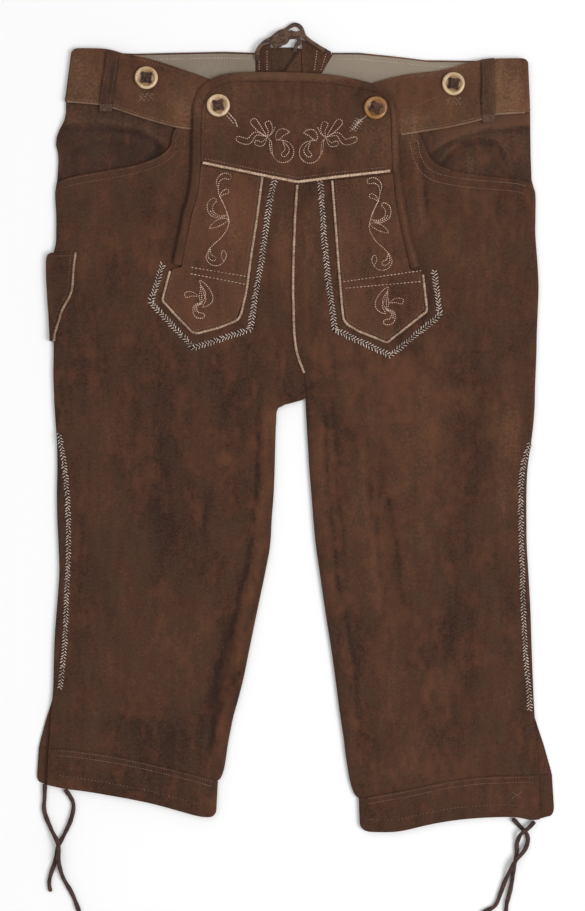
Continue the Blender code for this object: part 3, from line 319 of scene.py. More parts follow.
LEFT = Pattern(
    side=Side.LEFT,
    leg=((242.8, SLIT_Y, -2.2, SLIT_Y), (243.5, 150, -2.5, 150), (242.8, 128, -2, 128),
         (241.8, 104, -1.2, 104), (241.4, 84, 1.5, 84), (240.6, 64, 8.6, 64),
         (240, 50, 9.6, 50), (239.8, 39, 10, 39), (239.7, 34.5, 10, 34.5),
         (239.5, 29, 10.1, 29), (238.4, 14, 10.9, 14), (236, -6, 12.1, -6),
         (232.6, -30, 13.5, -30), (231.4, -56, 15.6, -56), (231.4, -82, 17.7, -82),
         (231.7, -108, 20.1, -108), (233.2, -134, 23.8, -134), (234.7, -160, 27.7, -161),
         (235.8, -186, 31.9, -189), (236.6, -212, 36.3, -217), (237.6, -238, 40.4, -247),
         (238.7, -264, 44.3, -277), (240.2, -290, 48.9, -306), (241.1, -302, 51.8, -320.5),
         (241.9, -314, 55.3, -335), (243.3, -337.5, 63.3, -361.5)),
    hips=((234.5, 345), (235, 335), (235.2, 305), (235.6, 281), (236.5, 257), (240.3, 245),
          (240.5, 221), (240.2, 206), (241, 192), (242, 180), (242.8, SLIT_Y)),
    vent=Vent(-282, 48, 13.6),
    cuff_seam=((63, -361.5), (112.3, -352.5), (155.5, -343.5), (190, -339.5), (243.5, -337.8),
               (259.5, -337)),
    hem=((64.6, -393.6), (74.3, -395), (91.5, -395.4), (107, -394), (138, -387),
         (166, -382.7), (197, -380.5), (221, -380.5), (238.5, -383.3), (259.5, -378.4)),
    slit_x=118.5,
    mouth=((237, 253.4), (220, 258), (182.5, 261.2), (156.4, 264.6), (139.5, 269.5),
           (131, 279), (126.2, 296.6), (119.5, 304.2), (97.4, 301.9)),
    band_low=((1.65, 300), (60, 300.5), (105.5, 303), (126, 306), (154.5, 310.7),
              (186.5, 318), (200.5, 323), (235, 325)),
    band_high=((1.65, 345), (60, 350), (107.5, 361.5), (150.5, 367), (175, 373.7),
               (186.5, 376.5), (201.5, 378.4), (233, 379)),
    back_high=((36.8, 385), (64.5, 385), (99.5, 381.5), (133.5, 377.5), (182.5, 377), (233, 378)),
    back_inner=12,
)
BACK_BAND_LOW_Y = 341.0

# Centre seam of the front above the crotch.
CENTRE = ((1.5, 345), (1.5, 257), (1.2, 245), (-0.4, 221), (-1, 206), (-1.6, 192),
          (-2, 180), (-2.2, SLIT_Y), (-2.5, 150), (-2, 128), (-1.2, 104), (1.5, 84), (8.6, 64))

# Outer line of the flap's binding, from the right slit over the top to the left slit.
FLAP_OUTLINE = ((-123.5, 173.5), (-118.2, 198), (-113, 223.6), (-107.5, 243), (-104.8, 261),
                (-104.1, 282), (-104, 303), (-102.8, 328), (-97.2, 345.4), (-87.2, 355.6),
                (-74.5, 361.7), (-57.7, 364.3), (-28.5, 365), (3.4, 364.3), (35, 362.2), (56, 358.6),
                (77, 353.3), (89.5, 348), (98, 339.7), (102.3, 324), (103.3, 303),
                (104.4, 271.3), (108.5, 240), (117, 198), (124.6, 171))
YOKE = ((-95, 274.4), (-64, 268), (-34.5, 261.8), (2, 254.8), (34.9, 259), (65, 262.5),
        (97, 266))


# ---- folds ----------------------------------------------------------------------
@dataclass(frozen=True)
class Crease:
    """A soft ridge on a line, or a trough where its height is negative.

    Attributes:
        start, end: The line it follows, in plan.
        width: How wide it is.
        height: How far it lifts the leather.
        bow: How far its middle bends aside.
    """

    start: Point
    end: Point
    width: float
    height: float
    bow: float = 0.0

    def lift(self, x: Array, y: Array) -> Array:
        """Height it adds at points in plan."""
        run_x, run_y = self.end[0] - self.start[0], self.end[1] - self.start[1]
        run = math.hypot(run_x, run_y)
        along = np.clip(((x - self.start[0]) * run_x + (y - self.start[1]) * run_y) / run ** 2, 0.0, 1.0)
        side = self.bow * np.sin(np.pi * along)
        gap = np.hypot(x - self.start[0] - along * run_x + side * run_y / run,
                       y - self.start[1] - along * run_y - side * run_x / run)
        width = self.width * (0.8 + 0.4 * along)
        fade = 0.35 + 0.65 * np.sin(np.pi * np.clip(along, 0.02, 0.98)) ** 0.7
        return self.height * fade * np.exp(-(gap / width) ** 2)


# Below the trim, where nothing lies on the leather.
LEG_CREASES = tuple(Crease(*row) for row in (
    ((-33, 50), (-38, -30), 12, 2.6, 4), ((-62, 62), (-66, -60), 14, -1.5, -5),
    ((-105, 70), (-98, -40), 20, 1.8, 6), ((-150, 60), (-128, -150), 22, -1.2, 8),
    ((-172, -90), (-150, -250), 24, 2.2, -7), ((-205, 40), (-200, -180), 20, 1.6, 5),
    ((-92, -120), (-112, -270), 18, 2.0, 6), ((-64, -170), (-88, -300), 11, -1.7, 3),
    ((28, 62), (86, 4), 12, 2.4, -5), ((36, 20), (66, -70), 12, -1.6, 4),
    ((52, -20), (70, -170), 13, 2.4, 5), ((88, -10), (98, -180), 16, -1.4, -6),
    ((128, 50), (132, -120), 22, 1.8, 5), ((180, 40), (172, -150), 22, -1.1, -6),
    ((208, 70), (206, -90), 17, 1.7, 4), ((96, -190), (110, -310), 17, 2.0, -5),
    ((150, -170), (152, -300), 20, -1.3, 7), ((196, -170), (204, -300), 18, 1.7, -4),
    ((14, 40), (58, -8), 5, -1.3, 3), ((-14, 44), (-46, 6), 5, -1.2, -3),
    ((-24, 20), (-62, -28), 6, 1.0, 3), ((44, -60), (52, -150), 5, 1.1, 2),
    ((60, -200), (62, -262), 4, 1.3, 2), ((56, -262), (62, -330), 5, 1.2, -2),
    ((-70, -236), (-74, -300), 7, -1.2, 2), ((-186, -214), (-158, -232), 8, 0.9, 4),
    ((-216, -262), (-176, -270), 9, 0.8, -3), ((126, -236), (168, -248), 9, 0.9, 5),
    ((186, -60), (214, -76), 8, 0.8, 3), ((-224, -60), (-190, -84), 8, 0.8, -3),
))
# All over, under the trim too, so that everything above follows them.
HIP_CREASES = tuple(Crease(*row) for row in (
    ((133, 250), (136, 208), 5, -0.9, 2), ((143, 252), (147, 200), 7, 0.8, -3),
    ((-212, 246), (-196, 190), 13, 0.9, 4), ((-168, 250), (-152, 196), 14, -0.6, -4),
    ((-140, 262), (-134, 200), 8, 0.8, 3), ((206, 240), (190, 180), 14, 0.8, -4),
    ((172, 244), (164, 168), 13, -0.6, 4), ((-60, 100), (-20, 74), 12, 0.7, 3),
    ((40, 96), (92, 66), 13, 0.7, -3), ((-190, 140), (-150, 96), 18, 0.7, 4),
    ((160, 150), (204, 104), 18, 0.7, -4), ((-17, 240), (-24, 150), 6, 0.45, 2),
    ((16, 236), (20, 140), 6, 0.45, -2), ((-66, 340), (-30, 300), 16, 0.5, 4),
    ((30, 338), (62, 300), 15, 0.5, -4), ((-82, 236), (-74, 190), 12, 0.4, 3),
    ((78, 230), (84, 186), 12, 0.4, -3), ((-210, 372), (-190, 350), 9, 0.4, 2),
    ((120, 352), (150, 330), 12, 0.5, 3), ((-130, 344), (-112, 326), 8, 0.45, 2),
))
# On the pocket facings.
FACING_CREASES = tuple(Crease(*row) for row in (
    ((-214, 290), (-160, 284), 8, 0.5, 5), ((-228, 300), (-200, 280), 5, 0.6, 4),
    ((178, 286), (190, 270), 5, 0.9, 3), ((150, 268), (176, 288), 4, 0.7, 3),
))
@dataclass(frozen=True)
class Drape:
    """An arc in which a pocket facing sags over itself.

    Attributes:
        line: The arc in plan, from one side to the other.
        height: How far the leather above it stands out.
        light, dark: How much painted highlight lightens the leather above it, and how much painted shade
            darkens that below.
        warm: How far the leather above it drifts to orange brown.
    """

    line: Line
    height: float
    light: float
    dark: float
    warm: float = 0.0

    def above(self, x: Array, y: Array) -> tuple[Array, Array]:
        """How far points lie above the arc, and 1 between its ends with soft edges."""
        start, end = self.line[0][0], self.line[-1][0]
        within = smooth(start - 4.0, start + 6.0, x) * (1.0 - smooth(end - 6.0, end + 4.0, x))
        return y - y_on(self.line, x), within

    def lift(self, x: Array, y: Array) -> Array:
        """Height it adds at points in plan."""
        gap, within = self.above(x, y)
        gap = gap - 3.2
        return self.height * within * np.exp(-(gap / np.where(gap > 0.0, 6.5, 2.1)) ** 2)

    def wear(self, x: Array, y: Array) -> Marks:
        """Painted highlight above the arc, painted shade below it, and the warmth it adds at points in plan.
        """
        gap, within = self.above(x, y)
        over = within * smooth(-0.5, 2.5, gap) * np.exp(-np.clip(gap, 0.0, None) / 16.0)
        under = within * np.exp(-((gap + 2.6) / 3.4) ** 2)
        return self.light * over - self.dark * under, self.warm * over


@dataclass(frozen=True)
class Pleat:
    """A long fold down a leg, with a ridge on one side and a groove on the other, painted lighter and darker
    as highlight and shade.

    Attributes:
        line: The groove in plan, from its top down.
        to: 1 where the ridge lies to the left of the garment, -1 where it lies to the right.
        width: How wide the ridge is.
        height: How far the ridge stands out.
        light, dark: How much painted highlight lightens the ridge, and how much painted shade darkens the
            groove.
        warm: How far the ridge drifts to orange brown.
    """

    line: Line
    to: int
    width: float
    height: float
    light: float
    dark: float
    warm: float = 0.3

    def beside(self, x: Array, y: Array) -> tuple[Array, Array]:
        """How far points lie on the ridge's side, and 1 between its ends with soft edges."""
        top, foot = self.line[0][1], self.line[-1][1]
        within = smooth(foot - 6.0, foot + 26.0, y) * (1.0 - smooth(top - 26.0, top + 6.0, y))
        return (x - x_at(self.line, y)) * self.to, within

    def lift(self, x: Array, y: Array) -> Array:
        """Height it adds at points in plan."""
        gap, within = self.beside(x, y)
        ridge = self.height * np.exp(-((gap - 0.55 * self.width) / (0.55 * self.width)) ** 2)
        return within * (ridge - 0.35 * self.height * np.exp(-((gap + 1.5) / 3.0) ** 2))

    def wear(self, x: Array, y: Array) -> Marks:
        """Painted highlight on the ridge, painted shade in the groove, and the warmth it adds at points in
        plan.
        """
        gap, within = self.beside(x, y)
        ridge = within * np.exp(-((gap - 0.6 * self.width) / (0.6 * self.width)) ** 2)
        groove = within * np.exp(-((gap + 1.0) / 2.8) ** 2)
        return self.light * ridge - self.dark * groove, self.warm * ridge


PLEATS = (
    Pleat(((-33, 56), (-35.4, 8), (-36.5, -30), (-40, -80), (-46, -120), (-55, -160),
           (-65, -205), (-74, -245), (-81, -290), (-87, -330)), 1, 13, 0.9, 0.35, 1.05, 0.5),
    Pleat(((26, 52), (30, -10), (35, -80), (42, -150), (54, -200), (61, -256),
           (63, -330)), -1, 10, 0.6, 0.3, 0.5, 0.3),
    Pleat(((36, 40), (38.5, 0), (41, -54), (46, -86), (50, -150)), -1, 6, 0.5, 0.1, 0.6),
    Pleat(((66, 30), (70, -10), (74, -54), (76, -90)), -1, 8, 0.6, 0.2, 0.6),
    Pleat(((84, -14), (91, -46), (98, -80), (105, -130), (108, -170)), 1, 8, 0.6, 0.15, 0.65),
    Pleat(((78, -74), (82, -110), (86, -150), (88, -190)), -1, 7, 0.5, 0.15, 0.6),
    Pleat(((-70, 40), (-76, -10), (-84, -60), (-90, -100)), 1, 10, 0.5, 0.1, 0.35, 0.1),
)
HIP_PLEAT = Pleat(((124, 290), (127.5, 256), (131, 224), (132, 200)), -1, 7, 1.1, 0.5, 1)
DRAPES = (
    Drape(((-236, 311), (-205, 311.6), (-182.5, 310.4), (-156, 306.4), (-140.2, 296.7), (-128, 287)),
          2, 0.9, 0.7, -0.25),
    Drape(((-226, 286), (-200, 296), (-176, 298), (-150, 288), (-141, 279)), 0.6, 0.2, 0.4),
    Drape(((136, 284), (152, 295), (171, 303), (196.5, 308.6), (238, 311.5)), 1.9, 1, 0.7, 0.5),
    Drape(((142.5, 270.5), (151.5, 281), (165.9, 294.6), (186.3, 298.8), (201.5, 294.6), (208.8, 284.6),
           (214.5, 270.8)), 2.1, 0.8, 0.85, -0.3),
)
LEG_LIMITS = (4.0, 1.1)           # how far the folds may rise, and how far they may sink
HIP_LIMITS = (1.2, 0.35)
CREASES_FULL_Y, CREASES_START_Y = 62.0, 96.0


def heights(folds: Sequence[Crease | Drape | Pleat], x: Array, y: Array) -> Array:
    """What folds add to the height at points in plan."""
    return sum(fold.lift(x, y) for fold in folds)


def marks(folds: Sequence[Drape | Pleat], x: Array, y: Array) -> Marks:
    """What folds add to the tone, as painted highlight and shade, and to the warmth at points in plan."""
    return tuple(map(sum, zip(*(fold.wear(x, y) for fold in folds))))


def limited(total: Array, up: float, down: float) -> Array:
    """Heights eased so that none is over up or under minus down."""
    return np.where(total > 0.0, up * np.tanh(total / up), down * np.tanh(total / down))


def ripple(x: Array, y: Array) -> Array:
    """Slight unevenness of leather that has been worn, about half a millimetre."""
    return 0.16 * (np.sin(x / 19.0 + 1.3 * np.sin(y / 31.0)) + np.sin(y / 23.0 + 1.7 * np.sin(x / 37.0))
                   + 0.6 * np.sin((x + y) / 11.0 + np.sin(y / 17.0)) + 0.5 * np.sin((x - 0.7 * y) / 8.3))


def lift(x: Array, y: Array) -> Array:
    """How far the leather of the front is lifted at points in plan."""
    x, y = np.asarray(x, float), np.asarray(y, float)
    everywhere = limited(heights((*HIP_CREASES, HIP_PLEAT), x, y) + ripple(x, y), *HIP_LIMITS)
    below = limited(heights((*LEG_CREASES, *PLEATS), x, y), *LEG_LIMITS)
    return everywhere + below * (1.0 - smooth(CREASES_FULL_Y, CREASES_START_Y, y))


def mouth_y(x: Array) -> Array:
    """Height in plan of the pocket mouths at x."""
    return np.where(x < 0.0, y_on(RIGHT.mouth[:-1], x), y_on(LEFT.mouth[:-1], x))


def mouth_roll(x: Array, y: Array) -> Array:
    """Swelling of the doubled leather below the pocket mouths."""
    below = mouth_y(x) - y
    inward = smooth(242.0, 226.0, np.abs(x)) * smooth(116.0, 124.0, np.abs(x))
    return 0.9 * np.exp(-((below - 4.5) / 4.5) ** 2) * inward


def front_z(x: Array, y: Array) -> Array:
    """Outer surface of the legs and hips."""
    return FRONT_TOP + lift(x, y) + mouth_roll(x, y)


def flap_z(x: Array, y: Array) -> Array:
    """Outer surface of the flap's middle, which climbs over the waistband."""
    return front_z(x, y) + FLAP_RISE * smooth(SLIT_Y, RAMP_END_Y, y)


def strip_z(x: Array, y: Array) -> Array:
    """Outer surface of the embroidered strips, doubled between the two rows of stitches across them."""
    middle = np.where(x < 0.0, 161.2 - 0.165 * (x + 77.0), 155.9 + 0.118 * (x - 87.0))
    return flap_z(x, y) + STRIP_LIFT + 0.55 * np.exp(-((y - middle) / 2.9) ** 4)


def bib_z(x: Array, y: Array) -> Array:
    """Outer surface of the flap's yoke, which puffs up a little inside its binding."""
    return FLAP_TOP + lift(x, y) + BIB_PUFF


def band_z(x: Array, y: Array) -> Array:
    """Outer surface of the front waistband."""
    return BAND_TOP + lift(x, y)


def pocket_z(x: Array, y: Array) -> Array:
    """Outer surface of the knife pocket."""
    return POCKET_TOP + lift(x, y)


def cuff_z(x: Array, y: Array) -> Array:
    """Outer surface of the cuffs, with gathers that run in from the seam."""
    return CUFF_TOP + 0.9 * lift(x, y) + 0.25 * np.sin(x / 5.3 + np.sin(x / 13.0)) * smooth(-400.0, -350.0, y)


def facing_z(x: Array, y: Array) -> Array:
    """Outer surface of the pocket facings, which bag in arches above the mouth."""
    return UNDER_TOP + lift(x, y) + heights((*FACING_CREASES, *DRAPES), x, y)


def facing_wear(x: Array, y: Array) -> Marks:
    """Tone and warmth of the pocket facings: the painted highlight and shade of their arcs, and painted
    shadow along the mouth, deepest at its inner end.
    """
    tone, warm = marks(DRAPES, x, y)
    inner = np.exp(-((np.abs(x) - 136.0) / 13.0) ** 2)
    # Painted shadow just above the pocket mouth, where the hip's edge overhangs the facing.
    mouth_shadow = (0.35 + 1.1 * inner) * np.exp(-((y - mouth_y(x)) / (3.0 + 6.0 * inner)) ** 2)
    return tone + np.where(x < 0.0, 0.0, 0.4) - mouth_shadow, warm


def leg_wear(x: Array, y: Array) -> Marks:
    """Tone and warmth of the legs and hips: the painted highlight and shade of their long folds, and darker
    below the hips.
    """
    tone, warm = marks((*PLEATS, HIP_PLEAT), x, y)
    return tone - 0.22 * smooth(190.0, 120.0, y), warm


def binding_wear(x: Array, y: Array) -> Marks:
    """Tone and warmth of the flap's binding: lighter and greyer over the top, a painted highlight on a ridge
    beside the left side's outer edge, and painted shadow darkest along the outer edges of its sides.
    """
    top = smooth(352.0, 362.0, y) * np.exp(-(x / 60.0) ** 4)
    edges = [[p for p in FLAP_OUTLINE if p[0] * side > 90.0 and p[1] < 340.0] for side in (-1, 1)]
    inset = np.where(x < 0.0, x - x_at(edges[0], y), x_at(edges[1], y) - x)
    low = smooth(345.0, 325.0, y)
    # Painted shadow along the outer edge of each side, darkest on the right.
    rim = np.where(x < 0.0, 1.7, 0.7) * np.exp(-(inset / 1.5) ** 2)
    # Painted highlight on a ridge just inside the left side's outer edge.
    ridge = np.where(x < 0.0, 0.0, 0.75) * np.exp(-((inset - 4.4) / 2.2) ** 2)
    return 1.55 * top + low * (ridge - rim), -0.7 * top


def walls(height: Surface, thickness: float) -> tuple[Surface, Surface]:
    """The upper and lower surface of a panel."""
    return height, lambda x, y: height(x, y) - thickness


def back_z(x: Array, y: Array) -> Array:
    """Underside of the back panels: flat where they rest, with soft troughs between."""
    waves = np.sin(x / 21.0 + 1.1 * np.sin(y / 47.0)) * np.sin(y / 63.0 + 0.8 * np.sin(x / 33.0))
    return 0.75 * np.clip(waves - 0.15, 0.0, None)


# ---- patches of stains and rubbing, and painted shade along the legs' edges -------
@dataclass(frozen=True)
class Patch:
    """A soft-edged place where the leather is darker, lighter or warmer.

    Attributes:
        x, y: Its middle.
        long, wide: Half its length and width.
        turn: Degrees from X to its length.
        tone: Lighter where positive, darker where negative.
        warm: Towards orange brown where positive, olive where negative.
    """

    x: float
    y: float
    long: float
    wide: float
    turn: float
    tone: float
    warm: float = 0.0

    def weight(self, x: Array, y: Array) -> Array:
        """How strongly it marks points in plan."""
        angle = math.radians(self.turn)
        along = (x - self.x) * math.cos(angle) + (y - self.y) * math.sin(angle)
        across = (y - self.y) * math.cos(angle) - (x - self.x) * math.sin(angle)
        return np.exp(-(along / self.long) ** 2 - (across / self.wide) ** 2)


PATCHES = tuple(Patch(*row) for row in (
    (-135, -200, 60, 26, 80, 0.45, 0.1), (-70, -240, 48, 12, 77, -1.4),
    (134, -258, 26, 18, 10, 0.4, 0.3), (218, 10, 34, 16, 85, 0.5, 0.3),
    (60, 60, 60, 26, -40, 0.3, 0.5), (110, 20, 70, 40, -80, 0.15, 0.6),
    (-60, 20, 60, 26, 85, -0.35, -0.2), (-170, -120, 80, 40, 90, -0.2, -0.3),
    (-200, 230, 50, 26, 20, -0.35, -0.1), (-150, 180, 40, 30, 0, 0.0, 0.2),
    (-120, 52, 80, 44, 0, -0.4, 0.1), (-130, -280, 80, 30, 0, -0.3),
    (-170, 196, 44, 40, 0, -0.3, 0.1), (-150, -80, 80, 70, 0, -0.1, 0.1),
    (188, 230, 44, 28, 0, -0.1, 0.4), (36, -120, 90, 12, 96, -0.35),
    (86, -150, 110, 20, 94, 0.3, 0.4), (180, -160, 90, 34, 90, -0.2),
    (-215, -20, 80, 20, 90, -0.15, -0.2), (-110, -320, 90, 22, -10, -0.25, -0.2),
    (150, -330, 90, 22, 10, 0.0, 0.1), (8, 40, 36, 14, 90, -0.6),
    (-214, 366, 24, 26, 0, 0.45, 0.1), (218, 350, 20, 30, 0, 0.8, 0.1),
    (226, 328, 24, 7, 0, 0.5, 0.2), (-112, 326, 16, 16, 60, 0.6, 0.2),
    (118, 318, 24, 8, 8, 0.5, 0.2), (-150, 372, 40, 14, -14, -0.5, 0.3),
    (-140, 344, 30, 22, -20, -0.3, 0.5), (130, 352, 50, 16, 10, -0.5, 0.6),
    (150, 334, 60, 12, 12, -0.15, 0.3), (-60, 222, 20, 40, 0, 0.4, 0.8),
    (-98, 138, 24, 24, 0, -0.65, 0.8), (-84, 172, 30, 8, -8, -0.4),
    (80, 214, 22, 46, 0, 0.0, 0.3), (96, 132, 28, 24, 0, -0.65, 0.4),
    (-10, 330, 30, 30, 0, -0.2), (60, 342, 24, 12, 0, -0.35, -0.2),
    (-70, 292, 26, 18, 0, -0.45, -0.2), (30, 276, 30, 12, 0, -0.2, 0.5),
    (0, 254, 110, 20, 0, -0.5), (-150, -355, 80, 26, -8, -0.45),
    (-11, 190, 8, 60, 0, 0.35, 0.4), (14, 190, 10, 60, 0, 0.1, 0.3),
    # Long narrow bands down the legs' outer edges: painted shade where the leather turns down to the seam.
    (-236, -20, 230, 6, 90, -0.35), (236, -20, 230, 6, 90, -0.3),
    (60, -230, 16, 34, 0, -0.35), (150, -210, 60, 40, 0, -0.15, 0.2),
    (-60, -20, 40, 22, 90, 0.1, 0.4), (120, 60, 50, 30, 0, 0.1, 0.3),
    (-180, 312, 50, 9, -8, -0.1), (-84, -366, 16, 10, 0, 0.2, 0.5),
    (120, -300, 90, 12, 8, -0.2), (-160, -292, 90, 12, -8, -0.2),
    (-60, 376, 60, 14, 0, -0.5), (100, 374, 60, 14, 0, 1.1),
    (114, 297, 8, 12, 0, 0.6, -0.4), (-112, 292, 8, 14, 0, 0.5, -0.2),
    (200, 350, 16, 40, 0, 0.35), (84, 196, 30, 50, 0, -0.25),
))


def mark_wear(item: bpy.types.Object, tone: float = 0.0, own: WearAndShade | None = None) -> None:
    """Give a piece of leather its tone and warmth as two values at each vertex: stained and rubbed patches,
    with painted highlight where its folds rise and painted shade where they sink.

    Args:
        item: The piece.
        tone: What is added to the tone all over.
        own: Tone and warmth of this piece alone, its painted highlight and shade included.
    """
    for_height, darkest, lightest = 0.16, -0.35, 0.4
    data = item.data
    points = np.empty(len(data.vertices) * 3, np.float32)
    data.vertices.foreach_get("co", points)
    x, y, _ = points.reshape(-1, 3).T.astype(float) / MM
    # Painted light and shade: lighter where folds lift the leather, darker where they sink.
    rubbing_and_fold_shade = np.clip(lift(x, y) * for_height, darkest, lightest)
    values = {"tone": tone + rubbing_and_fold_shade, "warm": np.zeros(len(x))}
    for patch in PATCHES:
        weight = patch.weight(x, y)
        values["tone"] = values["tone"] + patch.tone * weight
        values["warm"] = values["warm"] + patch.warm * weight
    if own is not None:
        for name, value in zip(values, own(x, y)):
            values[name] = values[name] + value
    for name, value in values.items():
        layer = data.attributes.new(name, 'FLOAT', 'POINT')
        layer.data.foreach_set("value", value.astype(np.float32))


# ---- finishes -----------------------------------------------------------------------
def linear(red: int, green: int, blue: int) -> tuple[float, float, float, float]:
    """A colour on the 0 to 255 scale of a screen, as the shader wants it."""
    values = [v / 255.0 for v in (red, green, blue)]
    return (*(v / 12.92 if v <= 0.04045 else ((v + 0.055) / 1.055) ** 2.4 for v in values), 1.0)


class Shader:
    """A material's nodes, built in short steps."""

    def __init__(self, name: str) -> None:
        """Start a material with a Principled shader.

        Args:
            name: The material's name.
        """
        self.material = bpy.data.materials.new(name)
        self.material.use_nodes = True
        self.tree = self.material.node_tree
        self.surface = self.tree.nodes["Principled BSDF"]
        self.place = self.add("ShaderNodeTexCoord", {}, output="Object")

    def add(self, kind: str, inputs: dict, output: int | str = 0, **settings) -> bpy.types.NodeSocket:
        """Add a node.

        Args:
            kind: Its type.
            inputs: Values or sockets for its inputs, by name or index.
            output: Which of its outputs is wanted.
            settings: Its own properties.

        Returns:
            The output.
        """
        node = self.tree.nodes.new(kind)
        for key, value in settings.items():
            setattr(node, key, value)
        for key, value in inputs.items():
            self.put(node.inputs[key], value)
        return node.outputs[output]

    def put(self, socket: bpy.types.NodeSocket, value: object) -> None:
        """Link a socket to another, or set its value."""
        if isinstance(value, bpy.types.NodeSocket):
            self.tree.links.new(value, socket)
        else:
            socket.default_value = value

    def set(self, **values: object) -> None:
        """Set or link the Principled shader's inputs; an underscore stands for a space."""
        for key, value in values.items():
            self.put(self.surface.inputs[key.replace("_", " ")], value)

    def maths(self, operation: str, first: object, second: object = 0.0) -> bpy.types.NodeSocket:
        """One step of arithmetic."""
        return self.add("ShaderNodeMath", {0: first, 1: second}, operation=operation)

    def noise(self, scale: float, detail: float = 3.0, rough: float = 0.55,
              stretch: Point = (1.0, 1.0, 1.0), swirl: float = 0.0) -> bpy.types.NodeSocket:
        """Noise of a given number of features to the metre, from about -0.5 to 0.5.

        Args:
            scale: Features to the metre.
            detail, rough: How much finer noise is added, and how strongly.
            stretch: Scale along each axis.
            swirl: Distortion.

        Returns:
            The value.
        """
        place = self.add("ShaderNodeMapping", {"Vector": self.place, "Scale": stretch})
        value = self.add("ShaderNodeTexNoise", {"Vector": place, "Scale": scale, "Detail": detail,
                                                "Roughness": rough, "Distortion": swirl})
        return self.maths('SUBTRACT', value, 0.5)

    def total(self, *terms: tuple[object, float]) -> bpy.types.NodeSocket:
        """Sum of values, each times its number."""
        found = None
        for value, share in terms:
            part = self.maths('MULTIPLY', value, share)
            found = part if found is None else self.maths('ADD', found, part)
        return found

    def mark(self, name: str) -> bpy.types.NodeSocket:
        """A value stored at the mesh's vertices."""
        return self.add("ShaderNodeAttribute", {}, output="Fac", attribute_name=name)

    def mix(self, share: object, first: object, second: object) -> bpy.types.NodeSocket:
        """Two colours mixed."""
        return self.add("ShaderNodeMix", {0: share, 6: first, 7: second}, output=2, data_type='RGBA')

    def ramp(self, value: object, stops: Sequence[tuple[float, Point]]) -> bpy.types.NodeSocket:
        """Colours by value.

        Args:
            value: The value, from 0 to 1.
            stops: Places and their colours, in order.

        Returns:
            The colour.
        """
        found = self.add("ShaderNodeValToRGB", {"Fac": value})
        ramp = found.node.color_ramp
        ramp.interpolation = 'EASE'
        while len(ramp.elements) < len(stops):
            ramp.elements.new(0.5)
        for element, (place, colour) in zip(ramp.elements, stops):
            element.position = place
            element.color = colour
        return found

    def bump(self, height: object, distance: float, strength: float = 1.0) -> bpy.types.NodeSocket:
        """Relief too fine for the mesh; distance is in metres."""
        return self.add("ShaderNodeBump", {"Height": height, "Distance": distance, "Strength": strength})


@dataclass(frozen=True)
class Suede:
    """Napped leather, mottled by dye and use, and lightened and darkened by painted highlight and shade.

    Attributes:
        name: Its own name.
        slot: Not used.
        dark, base, light: Its colours from dark to light: rubbed-in grime and painted shade at one end,
            brushed-up nap and painted highlight at the other.
        warm, olive: Colours it drifts towards.
        mottle: How strong the blotches are.
    """

    name: str
    slot: str
    dark: Point
    base: Point
    light: Point
    warm: Point = linear(103, 64, 45)
    olive: Point = linear(70, 55, 40)
    mottle: float = 1.0

    def material(self) -> bpy.types.Material:
        """Build the nodes."""
        shader = Shader(self.name)
        blotch = shader.noise(13.0, 2.0, 0.5, (1.0, 0.6, 1.0), 0.3)
        cloud = shader.noise(42.0, 3.0, 0.55, (1.0, 0.6, 1.0), 0.3)
        streak = shader.noise(120.0, 3.0, 0.6, (1.0, 0.16, 1.0), 0.2)
        nap = shader.noise(420.0, 3.0, 0.7)
        fibre = shader.noise(1700.0, 2.0, 0.7)
        # The "tone" attribute brings in the patches and the painted highlight and shade of folds.
        tone = shader.total((shader.mark("tone"), 0.30), (blotch, 0.45 * self.mottle),
                            (cloud, 0.34 * self.mottle), (streak, 0.40), (nap, 0.85), (fibre, 0.55))
        colour = shader.ramp(shader.maths('ADD', tone, 0.5),
                             ((0.12, self.dark), (0.5, self.base), (0.9, self.light)))
        drift = shader.noise(62.0, 2.0, 0.5, (1.0, 0.6, 1.0), 0.3)
        flecks = shader.noise(130.0, 2.0, 0.5, (1.0, 0.6, 1.0))
        warmth = shader.total((shader.mark("warm"), 0.55), (drift, 1.45 * self.mottle), (flecks, 1.0))
        colour = shader.mix(shader.add("ShaderNodeClamp", {0: shader.maths('MULTIPLY', warmth, 1.0)}),
                            colour, self.warm)
        colour = shader.mix(shader.add("ShaderNodeClamp", {0: shader.maths('MULTIPLY', warmth, -0.9)}),
                            colour, self.olive)
        grain = shader.total((nap, 0.6), (fibre, 0.5), (cloud, 0.5), (streak, 0.25))
        rough = shader.maths('ADD', shader.maths('MULTIPLY', cloud, -0.12), 0.93)
        shader.set(Base_Color=colour, Roughness=rough, Normal=shader.bump(grain, 0.0009),
                   Specular_IOR_Level=0.18, Sheen_Weight=0.22, Sheen_Roughness=0.45,
                   Sheen_Tint=linear(206, 170, 140))
        return shader.material


@dataclass(frozen=True)
class SmoothLeather:
    """Leather cord and lacing, with a fine grain and worn high places.

    Attributes:
        name: Its own name.
        slot: Not used.
        dark, light: Its colours.
        roughness: Of its surface.
    """

    name: str
    slot: str
    dark: Point
    light: Point
    roughness: float = 0.7

    def material(self) -> bpy.types.Material:
        """Build the nodes."""
        shader = Shader(self.name)
        patchy = shader.noise(120.0, 4.0, 0.65, swirl=0.6)
        grain = shader.noise(1100.0, 3.0, 0.6)
        rubbing_and_fold_shade = shader.noise(330.0, 3.0, 0.6)
        tone = shader.total((patchy, 1.3), (rubbing_and_fold_shade, 0.9), (grain, 0.6))
        colour = shader.ramp(shader.maths('ADD', tone, 0.5), ((0.2, self.dark), (0.75, self.light)))
        relief = shader.total((grain, 0.6), (rubbing_and_fold_shade, 0.6))
        shader.set(Base_Color=colour, Normal=shader.bump(relief, 0.0006), Roughness=self.roughness,
                   Specular_IOR_Level=0.35, Sheen_Weight=0.08)
        return shader.material


